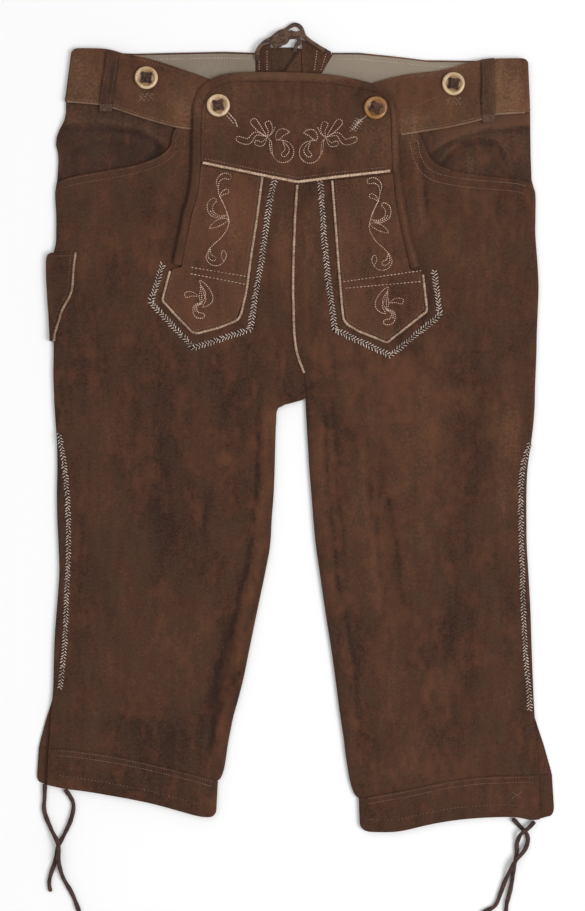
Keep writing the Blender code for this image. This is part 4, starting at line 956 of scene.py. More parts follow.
@dataclass(frozen=True)
class Twill:
    """Cotton lining woven in a steep diagonal.

    Attributes:
        name: Its own name.
        slot: Not used.
        thread, shadow: Colour of the yarn and of the furrows between.
        ribs: Diagonal ribs to the metre.
    """

    name: str
    slot: str
    thread: Point
    shadow: Point
    ribs: float = 700.0

    def material(self) -> bpy.types.Material:
        """Build the nodes."""
        shader = Shader(self.name)
        ribs = shader.add("ShaderNodeTexWave", {"Vector": shader.place, "Scale": self.ribs,
                                                "Distortion": 0.6, "Detail": 2.0, "Detail Scale": 3.0},
                          bands_direction='DIAGONAL')
        cross = shader.add("ShaderNodeTexWave", {"Vector": shader.place, "Scale": self.ribs * 0.7,
                                                 "Distortion": 0.4, "Detail": 1.0}, bands_direction='Y')
        faded = shader.noise(30.0, 4.0, 0.6)
        slub = shader.noise(500.0, 3.0, 0.6, (1.0, 0.25, 1.0))
        # The "tone" attribute brings painted fold shade into the lining's colour as well.
        weave = shader.total((ribs, 0.55), (cross, 0.25), (slub, 0.7), (faded, 0.9),
                             (shader.mark("tone"), 0.5))
        colour = shader.ramp(shader.maths('ADD', weave, 0.1), ((0.1, self.shadow), (0.75, self.thread)))
        shader.set(Base_Color=colour, Normal=shader.bump(weave, 0.00035), Roughness=0.94,
                   Specular_IOR_Level=0.15, Sheen_Weight=0.15)
        return shader.material


@dataclass(frozen=True)
class Thread:
    """Twisted sewing thread.

    Attributes:
        name: Its own name.
        slot: Not used.
        dark, light: Its colours, soiled and clean.
    """

    name: str
    slot: str
    dark: Point
    light: Point

    def material(self) -> bpy.types.Material:
        """Build the nodes."""
        shader = Shader(self.name)
        soiled = shader.noise(60.0, 4.0, 0.7, swirl=0.5)
        strand = shader.noise(900.0, 2.0, 0.6)
        twist = shader.add("ShaderNodeTexWave", {"Vector": shader.place, "Scale": 210.0, "Distortion": 1.5},
                           bands_direction='DIAGONAL')
        tone = shader.total((soiled, 1.5), (strand, 0.8), (twist, 0.2))
        colour = shader.ramp(shader.maths('ADD', tone, 0.45), ((0.15, self.dark), (0.8, self.light)))
        shader.set(Base_Color=colour, Normal=shader.bump(twist, 0.0002), Roughness=0.7,
                   Sheen_Weight=0.2, Specular_IOR_Level=0.3)
        return shader.material


@dataclass(frozen=True)
class Horn:
    """Polished horn with grain running across it.

    Attributes:
        name: Its own name.
        slot: Not used.
        pale, mid, deep: Colours from the rim to the darkest streaks.
        shade: The colour its upper half is darkened towards, a painted shade.
        centre: The button's middle, which the cloudy heart is drawn round.
        heart: How far the darker middle reaches, in metres.
    """

    name: str
    slot: str
    pale: Point
    mid: Point
    deep: Point
    shade: Point
    centre: Point
    heart: float

    def material(self) -> bpy.types.Material:
        """Build the nodes."""
        shader = Shader(self.name)
        local = shader.add("ShaderNodeVectorMath", {0: shader.place, 1: self.centre}, operation='SUBTRACT')
        reach = shader.add("ShaderNodeVectorMath", {0: local}, output="Value", operation='LENGTH')
        streaks = shader.noise(240.0, 4.0, 0.65, (1.0, 0.28, 1.0), 1.2)
        cloud = shader.noise(110.0, 3.0, 0.6, swirl=0.8)
        ring = shader.maths('DIVIDE', reach, self.heart)
        cloudy = shader.maths('ADD', shader.total((streaks, 0.75), (cloud, 0.7)), 1.12)
        tone = shader.maths('SUBTRACT', cloudy, shader.maths('MULTIPLY', ring, 0.62))
        colour = shader.ramp(tone, ((0.28, self.pale), (0.62, self.mid), (1.0, self.deep)))
        # Painted shade: the upper half of the button darkens towards the shade colour.
        height = shader.add("ShaderNodeSeparateXYZ", {0: local}, output=1)
        upper = shader.add("ShaderNodeMapRange", {0: height, 1: -0.001, 2: 0.011, 3: 0.0, 4: 0.6})
        colour = shader.mix(upper, colour, self.shade)
        pores = shader.noise(1500.0, 2.0, 0.5)
        shader.set(Base_Color=colour, Roughness=0.3, Coat_Weight=0.35, Coat_Roughness=0.2,
                   Specular_IOR_Level=0.5, Subsurface_Weight=0.06, Subsurface_Scale=0.002,
                   Normal=shader.bump(shader.total((streaks, 0.5), (pores, 0.4)), 0.00018))
        return shader.material


class Finish(Enum):
    """The garment's finishes."""

    SUEDE = Suede("brown_suede", "suede", linear(46, 30, 23), linear(75, 49, 36), linear(104, 71, 53))
    DARK = Suede("dark_suede", "suede_dark", linear(40, 27, 21), linear(62, 42, 33), linear(90, 63, 48))
    TAN = Suede("worn_suede", "suede_tan", linear(56, 37, 27), linear(88, 60, 44), linear(122, 88, 64))
    STRIP = Suede("russet_suede", "suede_tan", linear(56, 36, 27), linear(89, 58, 43), linear(122, 84, 62))
    # Pale rolled edges of seams: worn, and paler as a painted highlight.
    EDGE = Suede("rubbed_edge", "suede_tan", linear(84, 62, 48), linear(122, 94, 74), linear(152, 122, 98))
    PIPING = SmoothLeather("piping_leather", "piping", linear(132, 103, 84), linear(184, 155, 132))
    PALE_PIPING = SmoothLeather("pale_piping", "piping", linear(154, 124, 102), linear(212, 182, 156))
    DIM_PIPING = SmoothLeather("dim_piping", "piping", linear(110, 86, 68), linear(160, 132, 108))
    LACE = SmoothLeather("lace_leather", "suede_dark", linear(50, 33, 25), linear(104, 76, 58), 0.75)
    TIE = SmoothLeather("tie_leather", "suede_dark", linear(38, 24, 21), linear(76, 51, 43), 0.75)
    THONG = SmoothLeather("thong_leather", "thong", linear(30, 16, 12), linear(88, 56, 42), 0.8)
    # A dark strip laid under the braids' stitches: painted shadow in the gaps between them.
    CORE = SmoothLeather("braid_core", "thread", linear(34, 22, 17), linear(58, 39, 31), 0.9)
    TWILL = Twill("lining_twill", "twill", linear(154, 140, 124), linear(134, 121, 106))
    THREAD = Thread("pale_thread", "thread", linear(150, 122, 106), linear(214, 190, 174))
    SPECKS = Thread("worn_thread", "thread", linear(96, 70, 56), linear(156, 128, 108))
    BRAID = Thread("braid_thread", "thread", linear(149, 123, 106), linear(230, 207, 189))
    SILK = Thread("embroidery_thread", "thread", linear(152, 120, 103), linear(236, 202, 180))
    DUSTY_THREAD = Thread("dusty_thread", "thread", linear(98, 72, 60), linear(164, 132, 114))
    BROWN_THREAD = Thread("brown_thread", "thread", linear(80, 55, 44), linear(130, 98, 82))
    CUFF_THREAD = Thread("cuff_thread", "thread", linear(86, 61, 50), linear(142, 110, 94))

    @property
    def material(self) -> bpy.types.Material:
        """The finish's material, built the first time that it is asked for."""
        return bpy.data.materials.get(self.value.name) or self.value.material()


# ---- meshes ---------------------------------------------------------------------------
def put_mesh(name: str, points: Array, faces: list, material: bpy.types.Material,
             sharp: float = 40.0) -> bpy.types.Object:
    """Make a smooth-shaded object that moves with the garment.

    Args:
        name: The piece's name.
        points: Its vertices, in millimetres.
        faces: Its faces, as lists of vertex numbers.
        material: Its material.
        sharp: Angle in degrees past which an edge stays sharp.

    Returns:
        The object.
    """
    data = bpy.data.meshes.new(name)
    data.from_pydata((np.asarray(points) * MM).tolist(), [], faces)
    data.shade_smooth()
    data.set_sharp_from_angle(angle=math.radians(sharp))
    data.materials.append(material)
    item = bpy.data.objects.new(name, data)
    bpy.context.scene.collection.objects.link(item)
    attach(item, BODY)
    log.info("%s: %d faces", name, len(faces))
    return item


def wall(name: str, grids: Sequence[Grid], material: bpy.types.Material) -> bpy.types.Object:
    """A wall of leather from grids of outer and inner points, closed along its rim.

    Args:
        name: The piece's name.
        grids: Pairs of arrays, rows by columns by 3, which may share edges.
        material: Its material.

    Returns:
        The object, its raw edges rounded.
    """
    pairs = np.concatenate([np.concatenate(grid, axis=-1).reshape(-1, 6) for grid in grids])
    _, first, index = np.unique(np.round(pairs, 3), axis=0, return_index=True, return_inverse=True)
    index = index.reshape(-1)
    cells, start = [], 0
    for outer, _ in grids:
        rows, columns = outer.shape[:2]
        number = start + np.arange(rows * columns).reshape(rows, columns)
        cells.append(np.stack([number[:-1, :-1], number[:-1, 1:], number[1:, 1:], number[1:, :-1]],
                              axis=-1).reshape(-1, 4))
        start += rows * columns
    quads = index[np.concatenate(cells)]
    outer, inner = pairs[first, :3], pairs[first, 3:]
    normals = np.cross(outer[quads[:, 2]] - outer[quads[:, 0]], outer[quads[:, 3]] - outer[quads[:, 1]])
    if (normals * (outer - inner)[quads[:, 0]]).sum() < 0.0:
        quads = quads[:, ::-1]
    count = len(first)
    starts, ends = quads.reshape(-1), np.roll(quads, -1, axis=1).reshape(-1)
    real = starts != ends
    starts, ends = starts[real], ends[real]
    rim = ~np.isin(ends * count + starts, starts * count + ends)
    edge = np.stack([ends[rim], starts[rim], starts[rim] + count, ends[rim] + count], axis=1)
    faces = [list(dict.fromkeys(cell)) for cell in np.concatenate([quads, quads[:, ::-1] + count]).tolist()]
    item = put_mesh(name, np.concatenate([outer, inner]),
                    [cell for cell in faces if len(cell) > 2] + edge.tolist(), material, 50.0)
    bevel = item.modifiers.new("rounded edge", 'BEVEL')
    bevel.width = ROUNDED_EDGE * MM
    bevel.segments = 2
    bevel.limit_method = 'ANGLE'
    bevel.angle_limit = math.radians(55.0)
    return item


def stacked(rows: Sequence[Grid]) -> Grid:
    """Grids from rows of outer and inner points."""
    return np.stack([row[0] for row in rows]), np.stack([row[1] for row in rows])


def laid(plan: Array, height: Surface, thickness: float) -> Grid:
    """Outer and inner points of a sheet that lies flat.

    Args:
        plan: Rows by columns by 2.
        height: Its outer surface.
        thickness: How far down the inner one is.

    Returns:
        The two grids.
    """
    return raised(plan, height), raised(plan, height, -thickness)


def declare_cloth(item: bpy.types.Object, grids: Sequence[Grid],
                  flat: tuple[float, float] | None = None) -> None:
    """State the flat cut of a piece of leather.

    Args:
        item: The piece.
        grids: The grids it was built from.
        flat: Its cut, width and length in millimetres, where it isn't the piece's spread in plan.
    """
    outer = [grid[0] for grid in grids]
    area = sum(np.linalg.norm(np.cross(g[1:, 1:] - g[:-1, :-1], g[1:, :-1] - g[:-1, 1:]), axis=-1).sum() / 2
               for g in outer)
    points = np.concatenate([g.reshape(-1, 3) for g in outer])
    if flat is None:
        spread = points.max(axis=0) - points.min(axis=0)
        flat = (spread[0] + spread[2], spread[1] + spread[2] / 2)
    area = min(area, flat[0] * flat[1])
    log.info("%s cut: %.0f x %.0f mm, %.0f cm2", item.name, *flat, area / 100)


def trim(name: str, mesh: Mesh, finish: Finish, sharp: float = 70.0, node: str = "") -> bpy.types.Object:
    """Build and dress one piece of cord, thread or edging.

    Args:
        name: The piece's name.
        mesh: Its vertices and faces.
        finish: Its finish.
        sharp: Angle in degrees past which an edge stays sharp.
        node: The solid it stands for, if it stands for one.

    Returns:
        The object.
    """
    item = put_mesh(name, *mesh, finish.material, sharp)
    if node:
        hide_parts(node)
    return item


def leather(name: str, node: str, grids: Sequence[Grid], finish: Finish, rests_on: Sequence[str] = (),
            flat: tuple[float, float] | None = None, tone: float = 0.0,
            own: WearAndShade | None = None) -> bpy.types.Object:
    """Build, dress and declare one piece of suede or cloth that stands for a solid.

    Args:
        name: The piece's name.
        node: The solid it stands for.
        grids: Its outer and inner points.
        finish: Its finish.
        rests_on: Not used.
        flat: Its flat cut, where that isn't its spread in plan.
        tone: How much lighter or darker than its finish it is.
        own: Tone and warmth of this piece alone, its painted highlight and shade included.

    Returns:
        The object.
    """
    item = wall(name, grids, finish.material)
    mark_wear(item, tone, own)
    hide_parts(node)
    declare_cloth(item, grids, flat)
    return item


def ring_quads(rings: int, sides: int) -> Array:
    """Quads that join each closed ring of points to the next."""
    number = np.arange(rings * sides).reshape(rings, sides)
    after = np.roll(number, -1, axis=1)
    return np.stack([number[:-1], after[:-1], after[1:], number[1:]], axis=-1).reshape(-1, 4)


def swept(path: Array, profile: Array, twist: float = 0.0, swell: Array | float = 1.0) -> Mesh:
    """Carry a closed profile along a path and cap its ends.

    Args:
        path: Points in three dimensions.
        profile: Points (across, up), or one such set for each point of the path.
        twist: Radians the profile turns for each millimetre.
        swell: The profile's size at each point of the path.

    Returns:
        Vertices and faces.
    """
    path = np.asarray(path, float)
    along = np.gradient(path, axis=0)
    along /= np.linalg.norm(along, axis=1, keepdims=True)
    across = np.cross(along, (0.0, 0.0, 1.0))
    across /= np.linalg.norm(across, axis=1, keepdims=True)
    up = np.cross(across, along)
    shape = np.broadcast_to(profile * np.reshape(swell, (-1, 1, 1)), (len(path), *profile.shape[-2:]))
    angle = twist * run_of(path)[:, None]
    turned = (shape[..., 0] * np.cos(angle) - shape[..., 1] * np.sin(angle),
              shape[..., 0] * np.sin(angle) + shape[..., 1] * np.cos(angle))
    points = path[:, None] + turned[0][..., None] * across[:, None] + turned[1][..., None] * up[:, None]
    rings, sides = points.shape[:2]
    points, last = points.reshape(-1, 3), (rings - 1) * sides
    faces = ring_quads(rings, sides).tolist() + [list(range(sides))[::-1], list(range(last, last + sides))]
    if signed_volume(points, faces) < 0.0:
        faces = [face[::-1] for face in faces]
    return points, faces


def signed_volume(points: Array, faces: list) -> float:
    """Volume inside a closed mesh, negative where its faces point in."""
    total = 0.0
    for face in faces:
        corner = points[face[0]]
        for one, two in zip(face[1:], face[2:]):
            total += float(np.dot(corner, np.cross(points[one], points[two])))
    return total / 6.0


def joined(meshes: Sequence[Mesh]) -> Mesh:
    """One mesh from several."""
    starts = np.cumsum([0, *(len(points) for points, _ in meshes)]).tolist()
    faces = [[index + start for index in face] for (_, part), start in zip(meshes, starts) for face in part]
    return np.concatenate([points for points, _ in meshes]), faces


def oval(across: float, up: float, sides: int, square: float = 1.0) -> Array:
    """A round profile; square under 1 makes it boxier."""
    angle = np.linspace(0.0, 2.0 * np.pi, sides, endpoint=False)
    cos, sin = np.cos(angle), np.sin(angle)
    return np.stack([across * np.sign(cos) * np.abs(cos) ** square,
                     up * np.sign(sin) * np.abs(sin) ** square], axis=1)


# ---- panels with turned edges ------------------------------------------------------------
def shares_across(row: Array) -> Array:
    """How far across a row each of its points lies, from 0 to 1."""
    return np.abs(row[:, 0] - row[0, 0]) / abs(row[-1, 0] - row[0, 0])


@dataclass(frozen=True)
class Turn:
    """How a panel turns down to a seam along its sides.

    Attributes:
        reach: How far in from the seam it lies flat again.
        wall: Width of the wall's edge at the seam.
        steps: Points round the turn.
    """

    reach: float = 4.5
    wall: float = 1.4
    steps: int = 6

    def section(self, start: Point, end: Point, count: int, surfaces: tuple[Surface, Surface],
                rolls: tuple[float, float], outward: int, bend: Surface | None = None) -> Grid:
        """One section across a panel.

        Args:
            start, end: Its ends in plan.
            count: Points between the turns.
            surfaces: The panel's upper and lower surface.
            rolls: 1 where an end turns to the seam, 0 where it stays flat.
            outward: 1 for a front panel, -1 for a back one.
            bend: Where along Y each point goes, from its x and y.

        Returns:
            Outer and inner points.
        """
        width = math.dist(start, end)
        angle = np.linspace(0.0, math.pi / 2, self.steps, endpoint=False)
        even = self.reach * angle / (math.pi / 2)
        seam = SEAM_Z + outward * SEAM_GAP / 2
        drop = 1.0 - np.sin(angle)
        rise = np.concatenate([1.0 - rolls[0] * drop, np.ones(count), 1.0 - rolls[1] * drop[::-1]])
        found = []
        for edge, surface in zip((0.0, self.wall), surfaces[::outward]):
            turned = edge + (self.reach - edge) * (1.0 - np.cos(angle))
            near, far = (even + (turned - even) * roll for roll in rolls)
            reach = np.concatenate([near, np.linspace(self.reach, width - self.reach, count),
                                    width - far[::-1]]) / width
            x, y = (start[k] + (end[k] - start[k]) * reach for k in (0, 1))
            y = y if bend is None else bend(x, y)
            found.append(points_of(x, y, seam + (surface(x, y) - seam) * rise))
        return found[0], found[1]


@dataclass(frozen=True)
class LegPanels:
    """The front and the back of one leg, up to the waistband.

    Attributes:
        pattern: The side's outlines.
        braid: The braid down the leg.
        row_step, column_step: Spacing of the front's mesh.
        back_step: Spacing of the back's.
        cuff_gap: Gap to the cuff's seam.
    """

    pattern: Pattern
    braid: Line
    row_step: float = 4.0
    column_step: float = 3.2
    back_step: float = 7.0
    cuff_gap: float = 0.25
    turn: Turn = field(default_factory=Turn)

    def sections(self, outward: int, sections: Array, count: int,
                 surfaces: tuple[Surface, Surface]) -> Grid:
        """The sections of a leg, the last of them bowed to the cuff's seam.

        Args:
            outward: 1 for the front, -1 for the back.
            sections: The leg's sections, as in the pattern.
            count: Points across each.
            surfaces: The panel's upper and lower surface.

        Returns:
            Outer and inner points.
        """
        pattern, side = self.pattern, self.pattern.side.value
        seam = curved(pattern.cuff_seam, 4.0)
        if outward < 0:
            seam = seam[[0, -1]]
        last = sections[-1]
        rows = []
        for side_x, side_y, inner_x, inner_y in sections:
            lap = pattern.vent.shown(side_y) if outward < 0 else 0.0
            crotch = 1.0 - float(smooth(37.0, 60.0, inner_y))
            start, end = (side_x + side * lap, side_y), (inner_x + side * SEAM_GAP / 2, inner_y)
            share = float(np.interp(side_y - last[1], (0.0, 21.0, 37.0, 52.0), (1.0, 0.55, 0.2, 0.0)))

            def bow(x: Array, y: Array) -> Array:
                """The last sections bend to the cuff's seam."""
                held = np.clip(x, min(start[0], end[0]), max(start[0], end[0]))
                straight = start[1] + (end[1] - start[1]) * (held - start[0]) / (end[0] - start[0])
                return y + share * (y_on(seam, held) + self.cuff_gap - straight)

            rows.append(self.turn.section(start, end, count, surfaces,
                                          (pattern.vent.roll(side_y), crotch), outward, bow))
        return stacked(rows)

    def hip(self, leg: Grid, split: int) -> Grid:
        """The hip: outside the slit, from the leg's first section up to the pocket mouth.

        Args:
            leg: The leg's points.
            split: Its column at the slit.

        Returns:
            Outer and inner points.
        """
        pattern, side = self.pattern, self.pattern.side.value
        outer, inner = (points[0, :split + 1] for points in leg)
        share = shares_across(outer)
        mouth = curved(pattern.mouth, 3.0)
        edge = FLAP_OUTLINE[:7] if side < 0 else FLAP_OUTLINE[:-8:-1]
        hip_inner = [(x - side * TUCK, y) for x, y in edge if y > SLIT_Y]
        hip_inner = curved([(pattern.slit_x, SLIT_Y), *hip_inner[:-1], pattern.mouth[-1]], 4.0)
        side_line = curved(pattern.hips, 4.0)
        lifted = resample(mouth, share) - (mouth[0] + (mouth[-1] - mouth[0]) * share[:, None])
        seam = SEAM_Z + SEAM_GAP / 2
        surfaces = walls(front_z, LEATHER)
        rises = [(points[:, 2] - seam) / (surface(points[:, 0], points[:, 1]) - seam)
                 for points, surface in zip((outer, inner), surfaces)]
        top_y = mouth[0, 1]
        rows = [(outer, inner)]
        for y in np.linspace(SLIT_Y, top_y, round((top_y - SLIT_Y) / self.row_step))[1:]:
            v = (y - SLIT_Y) / (top_y - SLIT_Y)
            high = v ** 2
            near = np.array([x_at(side_line, y), y]) * (1 - v ** 8) + mouth[0] * v ** 8
            far = np.array([x_at(hip_inner, y), y]) * (1 - high)
            far += resample(hip_inner, np.array([v]))[0] * high
            x, y = (near + (far - near) * share[:, None] + high * lifted).T
            sides = x, x + inner[:, 0] - outer[:, 0]
            rows.append([points_of(along, y, seam + (surface(along, y) - seam) * rise)
                         for along, surface, rise in zip(sides, surfaces, rises)])
        return stacked(rows)

    def flap_middle(self, leg: Grid, split: int) -> Grid:
        """The middle of the flap: inside the slit, from the leg's first section up to the yoke.

        Args:
            leg: The leg's points.
            split: Its column at the slit.

        Returns:
            Outer and inner points.
        """
        side = self.pattern.side.value
        outer, inner = (points[0, split:] for points in leg)
        share = shares_across(outer)
        edge = DropFront.inner_edge(self.pattern.side)
        top_y = float(y_on(YOKE, side * 95.0)) - SEAM_GAP / 2
        rows = [(outer, inner)]
        for y in np.linspace(SLIT_Y, top_y, round((top_y - SLIT_Y) / self.row_step))[1:]:
            centre = float(x_at(CENTRE, y)) + side * SEAM_GAP / 2
            x = float(x_at(edge, y)) * (1 - share) + centre * share
            high = SLIT_Y + (y_on(YOKE, x) - SEAM_GAP / 2 - SLIT_Y) * (y - SLIT_Y) / (top_y - SLIT_Y)
            level = y + (high - y) * smooth(RAMP_END_Y, top_y, y)
            z = flap_z(x, level)
            rows.append((points_of(x, level, z), points_of(x, level, z - LEATHER)))
        return stacked(rows)

    def build(self) -> None:
        """Build both panels."""
        pattern = self.pattern
        sections = curved(pattern.leg, self.row_step * 1.2)
        count = round(abs(sections[0, 0] - sections[0, 2]) / self.column_step)
        leg = self.sections(1, sections, count, walls(front_z, LEATHER))
        split = int(np.argmin(np.abs(leg[0][0, :, 0] - pattern.slit_x)))
        for points in leg:
            points[0, split, 0] = pattern.slit_x
        grids = (leg, self.hip(leg, split), self.flap_middle(leg, split))
        leather(pattern.node("panel_front"), pattern.node("front"), grids, Finish.SUEDE,
                [pattern.node("back"), pattern.node("underlap")], own=leg_wear)

        hips = [(x, y, float(x_at(CENTRE, y)), y) for x, y in pattern.hips if SLIT_Y < y < BACK_BAND_LOW_Y]
        top_y = BACK_BAND_LOW_Y - SEAM_GAP
        top_x = float(x_at(pattern.hips, top_y))
        sections = curved([(top_x, top_y, 1.5, top_y), *hips, *pattern.leg], self.back_step * 1.2)
        back = self.sections(-1, sections, round(count * self.column_step / self.back_step),
                             (lambda x, y: LEATHER + back_z(x, y) * 0.5, back_z))
        leather(pattern.node("panel_back"), pattern.node("back"), (back,), Finish.SUEDE)
        sewing = Sewing(pattern.node("side_braid"), Finish.BRAID, 90)
        sewing.braid(curved(self.braid, 4.0), front_z, 6.0)
        sewing.build()


@dataclass(frozen=True)
class Cuff:
    """A knee cuff, open at the vent, that folds round the inside of the leg.

    Attributes:
        pattern: The side's outlines.
        columns: Points across the front, and across the back.
        rows: Points from seam to hem.
        wrap: Radius of the fold round the leg's inside.
        corner, radius: Share of its depth, and how far across, that its front corner is round.
        back_radius: The back corner's radius, as a share of the front's.
        flare: How much wider its front is at the hem, at the vent.
        puff: How far it swells between its seam and its hem.
        drops: How far below the seam its two rows of stitches run.
        rise: How far above the hem its row of stitches runs.
        cross: Middle of the crossed stitches at the left vent.
    """

    pattern: Pattern
    columns: int = 64
    rows: int = 15
    wrap: float = CUFF_WALL + 1.0
    corner: float = 0.22
    radius: float = 7.0
    back_radius: float = 0.6
    flare: float = 1.3
    puff: float = 0.5
    drops: tuple[float, float] = (2.0, 7.0)
    rise: float = 12.5
    cross: Point = (221.0, -358.0)

    def build(self) -> None:
        """Build the cuff and its stitching."""
        pattern, side = self.pattern, self.pattern.side.value
        seam, hem = (curved(line, 3.0)[::-side] for line in (pattern.cuff_seam, pattern.hem))
        last = pattern.leg[-1]
        seam_back = seam[[0, -1]]
        angles = np.radians(np.linspace(15.0, 165.0, 11))
        rows = []
        for share, drawn in corner_rows(self.corner, self.rows):
            rounding = side * self.radius * drawn
            start = last[0] + side * self.flare * share
            end = last[2] * (1 - share) + hem[-1][0] * share + rounding
            lap = pattern.vent.shown(seam[0][1] * (1 - share) + hem[0][1] * share)
            back_end = (last[0] + side * lap) * (1 - share) + hem[0][0] * share - self.back_radius * rounding
            edge = end + side * self.wrap
            x_front, x_back = (np.linspace(a, b, self.columns) for a, b in ((start, edge), (edge, back_end)))
            round_outer = end + side * self.wrap * (1 - np.sin(angles))
            round_inner = end + side * (self.wrap - (self.wrap - CUFF_WALL) * np.sin(angles))
            top = cuff_z(np.full(1, edge), np.full(1, y_on(seam, edge)))[0]

            def level(x: Array, front: bool) -> Array:
                """Height in plan of this row at x."""
                line = seam if front else seam_back
                return y_on(line, x) * (1 - share) + y_on(hem, x) * share

            y_front, y_back = level(x_front, True), level(x_back, False)
            front_share = 1.0 - smooth(0.3, 0.7, np.linspace(0, 1, len(angles)))
            y_outer, y_inner = (level(x, True) * front_share + level(x, False) * (1 - front_share)
                                for x in (round_outer, round_inner))
            z_front = cuff_z(x_front, y_front) + self.puff * np.sin(np.pi * share) ** 0.5
            z_front += (top - z_front[-1]) * smooth(8.0, 0.0, np.abs(x_front - edge))
            z_outer = top / 2 + top / 2 * np.cos(angles)
            z_inner = top / 2 + (top / 2 - CUFF_WALL) * np.cos(angles)
            rows.append(tuple(
                np.concatenate([points_of(x_front, y_front, z_front - wall_depth), points_of(x, y, z),
                                points_of(x_back, y_back, wall_depth)])
                for x, y, z, wall_depth in ((round_outer, y_outer, z_outer, 0.0),
                                            (round_inner, y_inner, z_inner, CUFF_WALL))))
        grid = stacked(rows)
        around = length_of(grid[0][self.rows // 2])
        deep = max(length_of(grid[0][:, column]) for column in range(0, grid[0].shape[1], 8))
        leather(pattern.node("turned_cuff"), pattern.node("cuff"), (grid,), Finish.SUEDE,
                [pattern.node("back")], (around, deep * 1.02), -0.2)
        self.sew(seam, hem)

    def sew(self, seam: Array, hem: Array) -> None:
        """Sew double rows at the seam, one above the hem, and a cross at the left vent."""
        sewing = Sewing(self.pattern.node("cuff_stitches"), Finish.CUFF_THREAD)
        low, high = sorted((self.pattern.leg[-1][0], self.pattern.leg[-1][2]))
        line = seam[(seam[:, 0] > low + 9.0) & (seam[:, 0] < high - 6.0)]
        for drop in self.drops:
            sewing.run(line - (0.0, drop), cuff_z, LONG, clear=0.6)
        line = hem[(hem[:, 0] > low + 10.0) & (hem[:, 0] < high - 16.0)]
        sewing.run(line + (0.0, self.rise), cuff_z, Stitch(1.2, 0.28), 3.6, 0.66)
        if self.pattern.side is Side.LEFT:
            middle = np.array(self.cross)
            for turn in (35.0, -35.0):
                step = 5.0 * np.array([math.cos(math.radians(turn)), math.sin(math.radians(turn))])
                sewing.run([middle - step, middle + step], cuff_z, CROSS, 1.9, 0.55)
        sewing.build()


# ---- sewing --------------------------------------------------------------------------------
@dataclass(frozen=True)
class Stitch:
    """One stitch of thread.

    Attributes:
        length: From hole to hole.
        radius: Of the thread.
        arch: How far its middle stands above its ends.
    """

    length: float = 1.7
    radius: float = 0.45
    arch: float = 0.35

    def shape(self) -> tuple[Array, Array]:
        """Vertices (along, across, up) and quads of one stitch."""
        share = np.array([-1.0, -0.72, 0.0, 0.72, 1.0])     # rings along the stitch, and their size
        swell = np.array([0.45, 0.92, 1.0, 0.92, 0.45])
        angle = np.linspace(0.0, 2.0 * np.pi, 6, endpoint=False)
        points = np.stack([
            np.repeat(share * self.length / 2, 6),
            np.outer(swell, np.cos(angle)).reshape(-1) * self.radius,
            (np.outer(swell, np.sin(angle)) * self.radius
             + (self.arch * (1.0 - share ** 2) - self.arch * 0.6)[:, None]).reshape(-1)], axis=1)
        caps = np.array([[5, 4, 1, 0], [4, 3, 2, 1], [24, 25, 28, 29], [25, 26, 27, 28]])
        return points, np.concatenate([ring_quads(len(share), len(angle)), caps])[:, ::-1]


# Seams that are sewn by machine: their usual pitch, and their stitches.
PITCH = 2.7
NARROW = Stitch(1.2, 0.34)
PLAIN = Stitch(1.3, 0.34)
THICK = Stitch(1.3, 0.36)
LONG = Stitch(1.4, 0.34)
SHALLOW = Stitch(1.4, 0.3)
BAR = Stitch(2.2, 0.38)
# Stitches that are sewn by hand.
TACK = Stitch(1.2, 0.38)
TACK_DOWN = Stitch(1.2, 0.4)
CROSS = Stitch(1.7, 0.4)
KNOTTED = Stitch(1.7, 0.36)
HEM = Stitch(1.9, 0.36)
ROUND = Stitch(1.3, 0.36, 0.3)
BUTTONHOLE = Stitch(2.6, 0.45, 0.3)
EMBROIDERY = Stitch(1.3, 0.43, 0.3)


@dataclass(frozen=True)
class Frond:
    """An embroidered leaf, outlined round a curved spine.

    Attributes:
        spine: From its foot to its tip.
        wide: Its width.
        pointed: Whether its tip is pointed, and not round.
        rib: How much of its spine is sewn too.
    """

    spine: Line
    wide: float
    pointed: bool = False
    rib: float = 0.0


